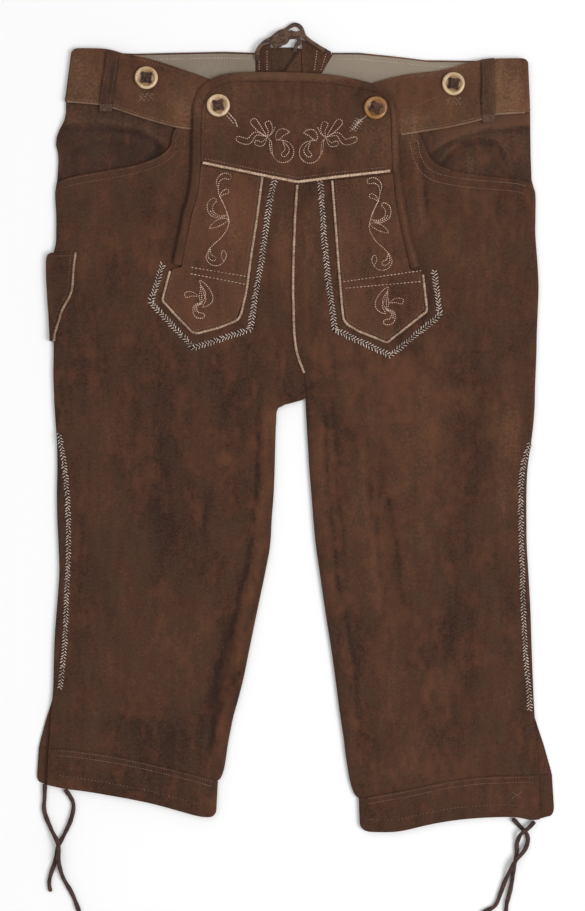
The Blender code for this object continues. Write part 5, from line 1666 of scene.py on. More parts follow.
class Sewing:
    """Many stitches that are joined into one piece.

    Attributes:
        sizes: Smallest and largest share of its size that a stitch has.
        spacing: From one embroidered stitch to the next, in lengths of a stitch.
    """

    sizes = (0.85, 1.12)
    spacing = 1.62

    def __init__(self, name: str, finish: Finish, seed: int = 5) -> None:
        """Start with no stitches.

        Args:
            name: The piece's name.
            finish: Its thread.
            seed: Of the slight unevenness.
        """
        self.name = name
        self.finish = finish
        self.random = np.random.default_rng(seed)
        self.points: list[Array] = []
        self.faces: list[Array] = []
        self.count = 0

    def add(self, places: Array, along: Array, stitch: Stitch) -> None:
        """Add one stitch at each place.

        Args:
            places: Their middles, in three dimensions.
            along: Their unit directions, in three dimensions.
            stitch: Their size.
        """
        shape, quads = stitch.shape()
        across = points_of(-along[:, 1], along[:, 0], 0.0)
        across /= np.linalg.norm(across, axis=1, keepdims=True)
        axes = np.stack([along, across, np.cross(along, across)], axis=1)
        size = self.random.uniform(*self.sizes, (len(places), 1, 1))
        starts = self.count + len(shape) * np.arange(len(places))
        self.points.append((places[:, None] + size * (shape @ axes)).reshape(-1, 3))
        self.faces.append((quads[None] + starts[:, None, None]).reshape(-1, 4))
        self.count += len(shape) * len(places)

    def run(self, line: Line, height: Surface, stitch: Stitch, pitch: float = PITCH,
            clear: float = 0.0) -> None:
        """Sew a running line.

        Args:
            line: Its points in plan.
            height: The surface it is sewn on.
            stitch: Its stitch.
            pitch: From one stitch to the next.
            clear: How far above the surface the stitches lie.
        """
        middle = evenly(line, pitch)
        self.lay(middle, directions(middle), height, stitch, clear)

    def lay(self, middle: Array, along: Array, height: Surface, stitch: Stitch,
            clear: float = 0.0) -> None:
        """Lay stitches on a surface.

        Args:
            middle: Their middles in plan.
            along: Their directions in plan.
            height: The surface.
            stitch: Their size.
            clear: How far above the surface they lie.
        """
        ahead, behind = (raised(middle + along * stitch.length * end, height) for end in (0.5, -0.5))
        direction = (ahead - behind) / np.linalg.norm(ahead - behind, axis=1, keepdims=True)
        self.add(raised(middle, height, stitch.radius * 0.35 + clear), direction, stitch)

    def braid(self, line: Line, height: Surface, width: float = 6.9, pitch: float = 3.1) -> None:
        """Sew a plaited braid: two staggered rows of slanting stitches over a dark strip that paints the
        shadow between them.

        Args:
            line: Its middle in plan.
            height: The surface it is sewn on.
            width: Of the braid.
            pitch: From one pair of stitches to the next.
        """
        middle = evenly(line, pitch)
        along = directions(middle)
        across = to_left(along)
        stitch = Stitch(width * 0.55, 0.40, 0.45)
        slant, unevenness, apart = 54.0, 15.0, width * 0.215
        for hand in (-1.0, 1.0):
            lean = np.radians(hand * (slant + self.random.uniform(-unevenness, unevenness, (len(middle), 1))))
            turned = along * np.cos(lean) + across * np.sin(lean)
            shift = self.random.uniform(-0.45, 0.45, (len(middle), 1))
            stagger = 0.5 * pitch * (hand > 0.0) + 0.8 * shift
            self.lay(middle + across * (hand * apart + shift) + along * stagger, turned, height, stitch, 0.25)
        # A dark strip under the stitches, painted shadow between them.
        path = raised(evenly(line, 2.0), height, 0.12)
        trim(f"{self.name}_core", swept(path, oval(width * 0.42, 0.22, 10, 0.6)), Finish.CORE, 60.0)

    def motif(self, line: Line, height: Surface) -> None:
        """Embroider a line in small, well spaced stitches."""
        self.run(line, height, EMBROIDERY, EMBROIDERY.length * self.spacing, 0.05)

    def frond(self, frond: Frond, place: Callable[[Point], Point], height: Surface) -> None:
        """Embroider a leaf.

        Args:
            frond: The leaf.
            place: Moves the pattern's points to the garment.
            height: The surface it is sewn on.
        """
        spine = curved([place(point) for point in frond.spine], 0.7)
        share = np.linspace(0.0, 1.0, len(spine))
        half = (np.sin(np.pi * share ** 0.9) ** 0.85 if frond.pointed
                else share ** 0.75 * np.sqrt(1.0 - share ** 6))
        edge = beside(spine, 1.0) - spine
        edge = edge * half[:, None] * frond.wide / 2.0
        self.motif(np.concatenate([spine + edge, (spine - edge)[-2::-1]]), height)
        if frond.rib > 0.0:
            self.motif(spine[:max(3, round(frond.rib * len(spine)))], height)

    def pattern(self, fronds: Sequence[Frond], lines: Sequence[Line], place: Callable[[Point], Point],
                height: Surface) -> None:
        """Embroider leaves and the lines between them.

        Args:
            fronds, lines: The leaves and lines.
            place: Moves the pattern's points to the garment.
            height: The surface it is sewn on.
        """
        for frond in fronds:
            self.frond(frond, place, height)
        for line in lines:
            self.motif(curved([place(point) for point in line], 0.8), height)

    def build(self) -> None:
        """Join the stitches into the piece."""
        trim(self.name, (np.concatenate(self.points), np.concatenate(self.faces).tolist()), self.finish, 60.0)


# ---- trim on the flap --------------------------------------------------------------------
def piping(name: str, node: str, line: Line, height: Surface, radius: float = PIPING_RADIUS,
           finish: Finish = Finish.PIPING) -> None:
    """A rolled leather piping on a surface.

    Args:
        name: The piece's name.
        node: The solid it stands for.
        line: Its middle in plan.
        height: The surface under it.
        radius: Of the piping.
        finish: Its leather.
    """
    plan = curved(line, 0.8)
    run = np.linspace(0.0, length_of(plan), len(plan))
    path = raised(plan, height, TRIM_GAP + radius * (0.42 + 0.05 * np.sin(run / 3.7)))
    wobble = 1.0 + 0.05 * np.sin(run / 2.3 + np.sin(run / 7.0))
    trim(name, swept(path, oval(radius * 1.04, radius * 0.82, 12, 0.9), 1.0, wobble), finish, node=node)


@dataclass(frozen=True)
class Strip:
    """An embroidered strip of the flap, with its pointed lower end.

    Attributes:
        side: Which side of the flap.
        inner: Its inner edge, from the yoke down.
        shoulder: Where its outer edge leaves the binding, and the corner below.
        point: Its pointed end, from the inner edge to that corner.
        bars: The two rows of stitches across it.
        braid: The braid beside it.
    """

    side: Side
    inner: Line
    shoulder: Line
    point: Line
    bars: tuple[Line, Line]
    braid: Line

    def plan(self, columns: int = 28, step: float = 3.5) -> Array:
        """Its grid in plan.

        Args:
            columns: Points across it.
            step: Distance between rows.

        Returns:
            Rows by columns by 2.
        """
        edge = DropFront.inner_edge(self.side)
        yoke_y, lowest, clear = 262.0, 173.5, 2.0
        top_y = float(y_on(YOKE, float(x_at(edge, yoke_y)))) - clear - PIPING_RADIUS
        ys = np.linspace(top_y, self.shoulder[0][1] + 2.6, round((top_y - self.shoulder[0][1]) / step))
        outer = [(float(x_at(edge, max(y, lowest))), y) for y in ys]
        middle = tuple((a + b) / 2 for a, b in zip(*self.shoulder))
        outer = np.concatenate([outer, evenly([self.shoulder[0], middle], step)])
        share = (outer[0, 1] - outer[:, 1]) / (outer[0, 1] - self.point[-1][1])
        y_inner = self.inner[0][1] + (self.point[0][1] - self.inner[0][1]) * share
        inner_line = curved(self.inner, 3.0)
        near = points_of(x_at(inner_line, y_inner), y_inner)
        s = np.linspace(0.0, 1.0, columns)[None, :, None]
        body = near[:, None] * (1 - s) + outer[:, None] * s
        knots = np.linspace(0.0, 1.0, len(self.point))
        tip = points_of(*(np.interp(s[0, :, 0], knots, column) for column in zip(*self.point)))
        rows = round(np.linalg.norm(tip - body[-1], axis=1).max() / step)
        fall = np.linspace(0.0, 1.0, rows)[1:, None, None]
        return np.concatenate([body, body[-1] * (1 - fall) + tip * fall])

    def build(self, sewing: Sewing) -> None:
        """Build the strip, its piping and its stitches.

        Args:
            sewing: Where its stitches go.
        """
        side, word = self.side.value, self.side.word
        grid = laid(self.plan(), strip_z, STRIP_WALL)
        leather(f"strip_{word}", f"flap_strip_{word}", (grid,), Finish.STRIP, [f"front_{word}"])
        tail = tuple(a + (b - a) * 0.93 for a, b in zip(self.point[-1], self.shoulder[0]))
        rim = [*self.inner[:-1], *self.point, tail]
        piping(f"edge_piping_{word}", f"piping_strip_{word}",
               beside(evenly(rim, 6.0), -side * (PIPING_RADIUS + SEAM_GAP)), flap_z)
        brown = Sewing(f"strip_stitches_{word}", Finish.BROWN_THREAD, 15 + side)
        brown.run(beside(evenly(rim, 3.0), side * 2.0), strip_z, NARROW)
        brown.build()
        for bar in self.bars:
            sewing.run(bar, strip_z, BAR, 3.7)
        self.embroider()
        braid = Sewing(f"braid_{word}", Finish.BRAID, 11 + side)
        braid.braid(self.braid, flap_z)
        braid.build()

    def embroider(self) -> None:
        """Sew a climbing vine above the bars, and a sprig below them."""
        side = self.side.value
        sewing = Sewing(f"embroidery_{self.side.word}", Finish.SILK, 21 + side)
        vine, sprig = ((-75.0, 0.0), (-95.5, 139.0)) if side < 0 else ((82.0, -4.5), (92.5, 132.5))
        for fronds, lines, (x, y) in ((VINE_FRONDS, VINE_LINES, vine), (SPRIG_FRONDS, SPRIG_LINES, sprig)):
            sewing.pattern(fronds, lines, lambda p: (x + side * p[0], y + p[1]), strip_z)
        sewing.build()


# The vine and the sprig, outwards and upwards.
VINE_FRONDS = (
    Frond(((2.4, 249), (2.2, 256), (-3.4, 260.6), (-10.6, 259)), 7.6),
    Frond(((0.6, 240), (-3.2, 244), (-8.4, 245.6)), 6.2),
    Frond(((-5.6, 221.4), (1.6, 219.8), (9.2, 224), (10, 232.4), (4.4, 237.4)), 7.8, False, 0.55),
    Frond(((-7.6, 217), (0.4, 214.4), (10.8, 208.6)), 6.4, True),
    Frond(((10.4, 187), (10.4, 180.4), (4.6, 177.6)), 6.4),
)
VINE_LINES = (
    ((2.4, 249), (1.6, 243), (-1.6, 236), (-5.2, 228), (-7.8, 219), (-7.6, 210), (-1.6, 200),
     (6, 193), (11.2, 187.6)),
    ((0.8, 240), (-3.2, 232), (-6.4, 224), (-9, 214.6)),
    ((11.2, 187.6), (14.4, 179.6), (10.2, 172.8), (2.4, 171.4), (-3.6, 175.6), (-5.8, 182.4), (-2.8, 186.4),
     (-0.8, 181.6), (-3.2, 176)),
)
SPRIG_FRONDS = (
    Frond(((-3, -9), (-9.2, -2), (-6.6, 7), (0, 17.6)), 7.6, True),
    Frond(((-2.2, -3.6), (-3.6, 4), (-0.4, 12.4)), 3.8, True),
    Frond(((1.8, 1.8), (8.4, 4), (15.2, 2.6)), 7.4),
    Frond(((-1.6, -5), (4.8, -8.6), (3.4, -16.4), (-4.6, -17.8)), 7.6, False, 0.5),
)
SPRIG_LINES = (((-1, -6), (0.6, 0.4), (0, 6.6)),)

# One side of the bib's motif, outwards from its middle.
BIB_FRONDS = (
    Frond(((19.6, 296.6), (15.4, 303.6), (7.4, 304.4)), 7.6, True),
    Frond(((28.6, 299.6), (26.4, 306.6), (29.4, 315)), 8.2),
    Frond(((30.6, 300.4), (37, 307.4), (44.6, 317)), 9.2),
    Frond(((31.4, 300.4), (41, 302.6), (48.6, 295), (60.4, 298.4)), 8.2),
    Frond(((30.2, 298), (34.6, 292.4), (41.6, 294.4)), 6.6),
    Frond(((13.4, 294.4), (9.4, 286.6), (14.4, 280.4)), 6.8),
)
BIB_LINES = (
    ((31, 300), (25.6, 295.4), (24.6, 288.4), (23.4, 280.6), (17.6, 274.6), (9.6, 274.4), (3.8, 279.8),
     (3.2, 287.8), (8, 294), (14.6, 296.2), (19.6, 296.6)),
    ((27.2, 296), (26.6, 289.4), (25.4, 283.4)),
    ((29.2, 300.4), (24.4, 303), (21.4, 309)),
)


@dataclass(frozen=True)
class DropFront:
    """The flap that buttons up over the waistband: yoke, binding, strips and pipings.

    Attributes:
        binding_width: Width of the rolled edge.
        binding_height: Its height.
        binding_wall: Thickness of its leather.
    """

    binding_width: float = 9.3
    binding_height: float = 3.0
    binding_wall: float = 1.1

    strips = (
        Strip(Side.RIGHT,
              ((-34.8, 259.3), (-41, 212.8), (-45.5, 184.6), (-50.8, 145.6), (-56.2, 122.8),
               (-59.5, 117.8)),
              ((-123.5, 167.6), (-131.5, 137.3)),
              ((-59.5, 117.8), (-78, 110.5), (-100.7, 104.8), (-117, 121), (-131.5, 137.3)),
              (((-103, 169.4), (-51, 160.8)), ((-104, 163), (-52, 153))),
              ((-20.8, 257.6), (-26, 235), (-33.5, 180.3), (-41, 137), (-45.4, 107.6),
               (-101.8, 89.2), (-145, 134.7), (-133.2, 171.6))),
        Strip(Side.LEFT,
              ((38.2, 256), (41.6, 212.8), (44.9, 169.4), (48.3, 128.2), (49.4, 120), (50.6, 115.2)),
              ((125.5, 164.8), (130, 127)),
              ((50.6, 115.2), (63.6, 107.4), (91.2, 96.4), (110, 111), (130, 127)),
              (((48.9, 155.3), (124.8, 166.2)), ((51, 148.8), (123.7, 155.3))),
              ((24.8, 256.4), (28.3, 202), (32.6, 158.6), (37, 126), (39.2, 107.6),
               (94.5, 81.6), (144.3, 121.7), (139, 165))),
    )

    @staticmethod
    def narrowing(plan: Array) -> Array:
        """Share of its full width that the binding has: less round its left corner."""
        return 1.0 - 0.2 * smooth(40.0, 92.0, plan[:, 0]) * smooth(225.0, 270.0, plan[:, 1])

    @classmethod
    def inside(cls, clear: float = 9.5) -> Array:
        """The line along the inner edge of the binding."""
        plan = curved(FLAP_OUTLINE, 3.0)
        return plan + (beside(plan, -clear) - plan) * cls.narrowing(plan)[:, None]

    @classmethod
    def inner_edge(cls, side: Side) -> list[Array]:
        """That line's part below the top on one side."""
        return [p for p in cls.inside() if p[0] * side.value > 0 and p[1] < 300.0]

    @staticmethod
    def binding_base(x: Array, y: Array) -> Array:
        """Underside of the binding: over the hip, then over the waistband."""
        return FRONT_TOP + SEAM_GAP + (BAND_TOP - FRONT_TOP) * smooth(176.0, 206.0, y) + lift(x, y)

    def build_binding(self) -> None:
        """The rolled edge that runs up one side of the flap, over the top and down the other."""
        plan = curved(FLAP_OUTLINE, 2.6)
        wide, high, thick = self.binding_width, self.binding_height, self.binding_wall
        outer = np.array([(0.0, 0.2), (0.0, 1.2), (0.35, 2.2), (1.1, 2.85), (2.4, high + 0.15),
                          (4.2, high + 0.25), (6.0, high + 0.1), (7.6, 2.9), (8.7, 2.65),
                          (wide, 2.3), (wide, 0.2)])
        inner = ((wide - thick, 0.2), (wide - thick, 1.3), (7.4, 1.7), (6.0, high - thick),
                 (3.0, high - thick), (1.7, 1.6), (thick, 1.0), (thick, 0.2))
        profile = np.concatenate([outer, inner])
        run = np.linspace(0.0, length_of(plan), len(plan))
        puff = 1.0 + 0.07 * np.sin(run / 9.0 + np.sin(run / 23.0)) + 0.03 * np.sin(run / 3.1)
        shaped = profile * np.stack([self.narrowing(plan), puff], axis=1)[:, None]
        item = trim("edge_binding", swept(raised(plan, self.binding_base), shaped), Finish.SUEDE, 60.0,
                    "flap_binding")
        mark_wear(item, 0.1, binding_wear)

    def build_bib(self) -> None:
        """The yoke of the flap, above the V-shaped piping."""
        line = self.inside()
        line = line[line[:, 1] > y_on(YOKE, line[:, 0]) + SEAM_GAP]
        corner_right = int(np.argmax(line[:, 1] - line[:, 0]))
        corner_left = int(np.argmax(line[:, 1] + line[:, 0]))
        low_x = np.linspace(line[0, 0], line[-1, 0], 80)
        low = points_of(low_x, y_on(YOKE, low_x) + SEAM_GAP / 2)
        start = np.concatenate([low[:1], line[:corner_right + 1]])
        end = np.concatenate([low[-1:], line[:corner_left - 1:-1]])
        plan = coons(low, line[corner_right:corner_left + 1], start, end, 70, 36)
        leather("yoke_bib", "bib", (laid(plan, bib_z, LEATHER),), Finish.SUEDE,
                ["band_front_left", "band_front_right"], tone=0.25)
        clear, above, highest = 11.5, 6.0, 336.0
        edge = self.inside(clear)
        edge = edge[(edge[:, 1] > y_on(YOKE, edge[:, 0]) + above) & (edge[:, 1] < highest)]
        brown = Sewing("bib_edge_stitches", Finish.BROWN_THREAD, 8)
        for side in (-1.0, 1.0):
            brown.run(edge[edge[:, 0] * side > 0.0], bib_z, PLAIN)
        dusty = Sewing("yoke_seam_stitches", Finish.DUSTY_THREAD, 9)
        dusty.run(kept(low + (0.0, 4.2), 0.0, 92.0), bib_z, THICK)
        dusty.build()
        brown.build()

    def embroider_bib(self) -> None:
        """A mirrored pair of scrolls with leaves."""
        sewing = Sewing("embroidery_bib", Finish.SILK, 31)
        for side in (-1, 1):
            sewing.pattern(BIB_FRONDS, BIB_LINES, lambda p: (1.0 + side * p[0], p[1] - 0.3 * side), bib_z)
        sewing.build()

    def buttonholes(self) -> None:
        """Thread that shows beside the flap's two buttons."""
        sewing = Sewing("buttonhole_threads", Finish.THREAD, 33)
        for line in (((-68.5, 325.5), (-60.5, 316.5), (-58.5, 311.0)), ((-70.5, 323.0), (-62.5, 314.0)),
                     ((70.5, 320.5), (62.5, 313.5))):
            sewing.run(line, bib_z, BUTTONHOLE, 2.9, 0.1)
        for step in range(5):
            middle = np.array([63.6 - 1.5 * step, 316.5 - 2.3 * step])
            for lean in (-1.6, 1.6):
                ends = [middle + (-2.6, lean), middle + (2.6, -lean)]
                sewing.run(ends, bib_z, ROUND, 1.8, 0.1)
        sewing.build()

    def build(self) -> None:
        """Build the whole flap."""
        sewing = Sewing("flap_stitches", Finish.THREAD, 7)
        self.build_bib()
        self.build_binding()
        for strip in self.strips:
            strip.build(sewing)
        self.embroider_bib()
        self.buttonholes()
        sewing.build()
        x = np.linspace(-92.6, 94.4, 60)
        piping("yoke_piping", "piping_yoke", points_of(x, y_on(YOKE, x)), flap_z,
               PIPING_RADIUS * 1.1, Finish.PALE_PIPING)
        seam = [(1.6, float(y_on(YOKE, 1.6)) - 3.2), *[p for p in CENTRE if 64.0 <= p[1] <= 245.0]]
        piping("centre_piping", "piping_centre", seam, flap_z)


@dataclass(frozen=True)
class Waist:
    """One side of the waist: both bands, the lining, the pocket facing and the panel behind the flap.

    Attributes:
        pattern: The side's outlines.
        loop_top, loop_low: Ends of the belt loop's middle.
        lining_low, lining_high: Ends of the lining's lower and upper edge.
        tack: Middle of the thread below the button.
        row: A row of stitches on the band.
        drops: How far below the pocket mouth its rows of stitches run.
        thread: Their thread.
        loop_width: Width of the belt loop.
        corner: How round the outer top corner of a band is.
        columns: Points across a band.
        shown: How far to the side the worn edges start and end.
        loop_rise: The belt loop's height above its middle, by share of its length.
        edge_rows: The stitches beside the loop's edges, (inset, below its top, above its foot).
        knots: The knots across its foot, (number, inset, lower end, upper end, lean).
    """

    pattern: Pattern
    loop_top: Point
    loop_low: Point
    lining_low: Point
    lining_high: Point
    tack: Point
    row: Line
    drops: tuple[float, float]
    thread: Finish
    loop_width: float = 13.6
    corner: float = 5.0
    columns: int = 60
    shown: tuple[float, float] = (103.0, 230.0)
    loop_rise: Line = ((0.0, -3.4), (0.02, -1.3), (0.05, -0.3), (0.09, 0.0), (0.5, 0.5), (0.86, 0.1),
                       (0.92, -1.2), (1.0, -2.1))
    edge_rows: Point = (2.1, 7.5, 9.0)
    knots: Point = (11, 1.3, 1.4, 6.6, 0.4)
    turn: Turn = field(default_factory=Turn)

    def band(self, low: Line, high: Line, surfaces: tuple[Surface, Surface], outward: int) -> Grid:
        """A length of waistband, from the side seam inwards.

        Args:
            low, high: Its edges, from the side seam.
            surfaces: Its upper and lower surface.
            outward: 1 for the front, -1 for the back.

        Returns:
            Outer and inner points.
        """
        low, high = (np.asarray(line)[::-1] if abs(line[0][0]) < abs(line[-1][0]) else np.asarray(line)
                     for line in (low, high))
        rows, deep = [], math.dist(low[0], high[0])
        for v, drawn in corner_rows(self.corner / deep, 13):
            start, end = (low[k] * (1 - v) + high[k] * v for k in (0, -1))
            start = start - (self.pattern.side.value * self.corner * drawn, 0.0)

            def bend(x: Array, y: Array) -> Array:
                """Height in plan of this row at x."""
                share = np.clip((x - start[0]) / (end[0] - start[0]), 0.0, 1.0)
                edges = [y_on(line, line[0][0] + (line[-1][0] - line[0][0]) * share) for line in (low, high)]
                return y + edges[0] * (1 - v) + edges[1] * v - (start[1] + (end[1] - start[1]) * share)

            rows.append(self.turn.section(start, end, self.columns, surfaces, (1.0, 0.0), outward, bend))
        return stacked(rows)

    def build_bands(self) -> None:
        """The front and back waistbands, and the lining above the back one."""
        pattern = self.pattern
        low, high = curved(pattern.band_low, 6.0), curved(pattern.band_high, 6.0)
        front = self.band(low, high, walls(band_z, BAND_WALL), 1)
        leather(pattern.node("waistband_front"), pattern.node("band_front"), (front,), Finish.TAN,
                [pattern.node("pocket_facing"), pattern.node("lining")])
        low = [(float(x_at(pattern.hips, BACK_BAND_LOW_Y)), BACK_BAND_LOW_Y),
               (pattern.back_inner, BACK_BAND_LOW_Y)]
        back = self.band(low, pattern.back_high,
                         (lambda x, _: np.full_like(x, BACK_BAND_WALL), lambda x, y: 0.5 * back_z(x, y)), -1)
        leather(pattern.node("waistband_back"), pattern.node("band_back"), (back,), Finish.TAN)
        rows = []
        for v in np.linspace(0.0, 1.0, 12):
            ends = (a * (1 - v) + b * v for a, b in zip(self.lining_low, self.lining_high))
            x = np.linspace(*ends, self.columns)
            low_y, high_y = BACK_BAND_LOW_Y + 1.0, y_on(pattern.back_high, x) - 2.0
            rows.append(points_of(x, low_y * (1 - v) + high_y * v))
        grid = laid(np.stack(rows), lining_z, LINING_WALL)
        leather(pattern.node("band_lining"), pattern.node("lining"), (grid,), Finish.TWILL,
                [pattern.node("band_back")])

    def build_facing(self) -> None:
        """The dark facing above the pocket mouth."""
        pattern, side = self.pattern, self.pattern.side.value
        reach, tuck_below, tuck_above, inset, width = side * 112.0, 9.0, 4.0, 0.05, 130.0
        corner = pattern.mouth[0][1] + 0.7
        top_corner = float(y_on(pattern.band_low, side * 232.0)) - 0.6
        rows = []
        for v in np.linspace(0.0, 1.0, 24):
            y = corner + (top_corner - corner) * v
            start = (float(x_at(pattern.hips, y)), y)

            def bend(x: Array, _: Array) -> Array:
                """Height in plan of this row at x."""
                share = np.abs(x - start[0]) / width
                sunk = smooth(0.0, inset, share - self.turn.reach / width)
                mouth = y_on(pattern.mouth[:-1], x + side * tuck_below) - tuck_below
                low = corner + (mouth - corner) * sunk
                high = top_corner + (y_on(pattern.band_low, x) + tuck_above - top_corner) * sunk
                return low + (high - low) * v

            rows.append(self.turn.section(start, (reach, y), 48, walls(facing_z, LEATHER), (1.0, 0.0), 1,
                                          bend))
        grid = stacked(rows)
        leather(pattern.node("facing"), pattern.node("pocket_facing"), (grid,), Finish.DARK,
                [pattern.node("back")], own=facing_wear)

    def build_underlap(self) -> None:
        """The panel behind the flap."""
        pattern, side = self.pattern, self.pattern.side.value
        centre, low_y, high_y = 1.5 + side * SEAM_GAP / 2, SLIT_Y - 12.0, 309.0
        corners = ((centre, low_y), (side * 122.0, low_y), (centre, high_y), (side * 110.0, high_y))
        plan = coons(corners[:2], corners[2:], corners[::2], corners[1::2], 20, 24)
        leather(pattern.node("behind_flap"), pattern.node("underlap"),
                (laid(plan, lambda x, y: UNDER_TOP - 0.1 + 0.5 * lift(x, y), LEATHER),), Finish.SUEDE,
                [pattern.node("back")])

    def build_loop(self) -> None:
        """The belt loop, which turns down past both edges of the band."""
        pattern, half = self.pattern, self.loop_width / 2
        (top_x, top_y), (low_x, low_y) = self.loop_top, self.loop_low
        top = BAND_TOP + SEAM_GAP + LEATHER
        share, across = np.linspace(0.0, 1.0, 40)[:, None], np.linspace(-1.0, 1.0, 15)[None, :]
        level = top + y_on(self.loop_rise, share)
        x = top_x + (low_x - top_x) * share + across * half
        x = x + 0.35 * np.sin(share * 9.0 + across) * np.abs(across)
        high = y_on(pattern.band_high, x) + 1.4
        y = high + (low_y + 0.8 * np.sin(across * 2.0) - high) * share
        bulge = 0.3 * (1.0 - across ** 2) - 0.55 * np.abs(across) ** 8
        z = level + bulge + lift(x, y) + 0.15 * np.sin(share * 17.0 + 2.0 * across)
        grid = points_of(x, y, z), points_of(x, y, level - LEATHER + lift(x, y))
        leather(pattern.node("loop"), pattern.node("belt_loop"), (grid,), Finish.DARK,
                [pattern.node("band_front")],
                (self.loop_width, math.dist(self.loop_top, self.loop_low) + 6.0),
                0.5 if pattern.side is Side.LEFT else 0.15)

        def loop_z(px: Array, py: Array) -> Array:
            """Outer surface of the loop."""
            down = np.interp((top_y - py) / (top_y - low_y), share[:, 0], level[:, 0])
            return down + lift(px, py) + 0.2

        sewing = Sewing(pattern.node("loop_stitches"), Finish.BROWN_THREAD)
        inset, below, above = self.edge_rows
        for side in (inset - half, half - inset):
            ends = (top_x + side, top_y - below), (low_x + side, low_y + above)
            sewing.run(ends, loop_z, NARROW, 2.6, 0.1)
        number, inset, lower, upper, lean = self.knots
        for foot in low_x + np.linspace(inset - half, half - inset, number):
            sewing.run([(foot, low_y + lower), (foot + lean, low_y + upper)], loop_z, KNOTTED, 1.7, 0.05)
        sewing.build()

    def sew(self) -> None:
        """Edge stitches of the band, and the rows below the pocket mouth."""
        pattern, side = self.pattern, self.pattern.side.value
        sewing = Sewing(pattern.node("pocket_stitches"), self.thread, 40 + side)
        mouth = curved(pattern.mouth[:-2], 3.0)
        for drop in self.drops:
            line = kept(beside(mouth, side * drop), 0.0, abs(pattern.mouth[0][0]) - 6.0)
            sewing.run(line[line[:, 1] < pattern.mouth[-3][1] + 4.0], front_z, Stitch(1.25, 0.36))
        seam = pattern.mouth[-3:-1]
        wavy = evenly(beside(seam, side * 4.4), 1.5)
        wavy = wavy + np.outer(np.sin(np.arange(len(wavy)) * 0.9) * 1.1, (1.0, 0.2))
        sewing.run(wavy, front_z, NARROW, 2.6)
        sewing.build()
        brown = Sewing(pattern.node("band_stitches"), Finish.BROWN_THREAD, 50 + side)
        pale = Sewing(pattern.node("tack_stitches"), Finish.SPECKS, 56 + side)
        edge = curved(pattern.band_high, 4.0)
        row = beside(edge, 2.6 if edge[0, 0] > edge[-1, 0] else -2.6)
        brown.run(kept(row, 106.0, 172.0), band_z, Stitch(1.3, 0.3), 2.8)
        brown.run(self.row, band_z, Stitch(1.4, 0.36), 2.8)
        run = np.linspace(-1.0, 1.0, 60)
        for drop, phase in ((1.9, 0.0), (-2.1, 1.1)):
            wave = points_of(self.tack[0] + 6.8 * run,
                             self.tack[1] + drop + 1.7 * np.sin(9.0 * run + phase))
            pale.run(wave, band_z, TACK, 1.9)
        seam = beside(curved(pattern.band_low, 3.0), 2.4)
        pale.run(kept(seam, 106.0), band_z, Stitch(1.2, 0.3), 2.6)
        brown.build()
        pale.build()
        self.welt("seam_edge", curved(pattern.band_low, 4.0) + (0.0, 0.1),
                  lambda x, y: band_z(x, y) - 0.75, 1.15)
        self.welt("pocket_edge", seam - (side * 0.2, 0.0), front_z, 0.75)
        lining = Sewing(pattern.node("lining_stitches"), Finish.THREAD, 60 + side)
        x = np.linspace(self.lining_high[0] + 4.0, self.lining_high[1] - 4.0, self.columns)
        lining.run(points_of(x, y_on(pattern.back_high, x) - 6.5), lining_z, HEM, 3.0)
        lining.build()

    def welt(self, stem: str, line: Array, height: Surface, radius: float) -> None:
        """The thin worn edge of a seam, its pale finish partly a painted highlight.

        Args:
            stem: The piece's name without its side.
            line: Its middle in plan.
            height: How high it lies.
            radius: Of its edge.
        """
        path = raised(evenly(kept(line, *self.shown), 2.5), height)
        mark_wear(trim(self.pattern.node(stem), swept(path, oval(radius, radius * 0.8, 8)), Finish.EDGE))

    def build(self) -> None:
        """Build this side of the waist."""
        self.build_bands()
        self.build_facing()
        self.build_underlap()
        self.build_loop()
        self.sew()


WAISTS = (
    Waist(RIGHT, loop_top=(-182.5, 387.0), loop_low=(-190.0, 325.2), lining_low=(-225.6, -40.2),
          lining_high=(-219.3, -40.2), tack=(-149.5, 340.0), row=((-128.0, 346.0), (-108.0, 338.0)),
          drops=(1.8, 8.2), thread=Finish.BROWN_THREAD),
    Waist(LEFT, loop_top=(192.0, 378.5), loop_low=(192.8, 314.6), lining_low=(13.2, 229.3),
          lining_high=(37.2, 228.0), tack=(158.0, 336.0),
          row=((105.5, 326.0), (128.0, 334.5), (149.5, 344.0)), drops=(4.4, 12.2),
          thread=Finish.DUSTY_THREAD),
)


def lining_z(x: Array, y: Array) -> Array:
    """Outer surface of the lining, slightly wavy."""
    return LINING_TOP + 0.3 + 0.3 * np.sin(x / 17.0 + np.sin(x / 29.0 + y / 11.0))


def past_fold(x: Array, y: Array) -> Array:
    """How far points lie past the gusset's slanting fold."""
    return (x + 2.5 - 0.62 * (y - 378.0)) * 0.85


def gusset_wear(x: Array, y: Array) -> Marks:
    """Tone and warmth of the gusset: painted shade under its fold, and olive on the side that lies lower."""
    past = past_fold(x, y)
    return -1.3 * np.exp(-((past + 1.2) / 1.4) ** 2), np.where(past < 0.0, -0.5, 0.3)


def gusset_z(x: Array, y: Array) -> Array:
    """Outer surface of the gusset, one half of which overhangs the other in a slanting fold."""
    past = past_fold(x, y)
    fold = np.where(past < 0.0, np.exp(-(past / 1.1) ** 2), np.exp(-(past / 8.0) ** 2))
    free = smooth(-24.0, -16.0, x) * (1.0 - smooth(3.0, 9.0, x)) * (1.0 - smooth(382.0, 388.0, y))
    return LEATHER + 2.6 * fold * free + 0.15 + 0.3 * np.sin(x / 5.0 + y / 9.0) * free


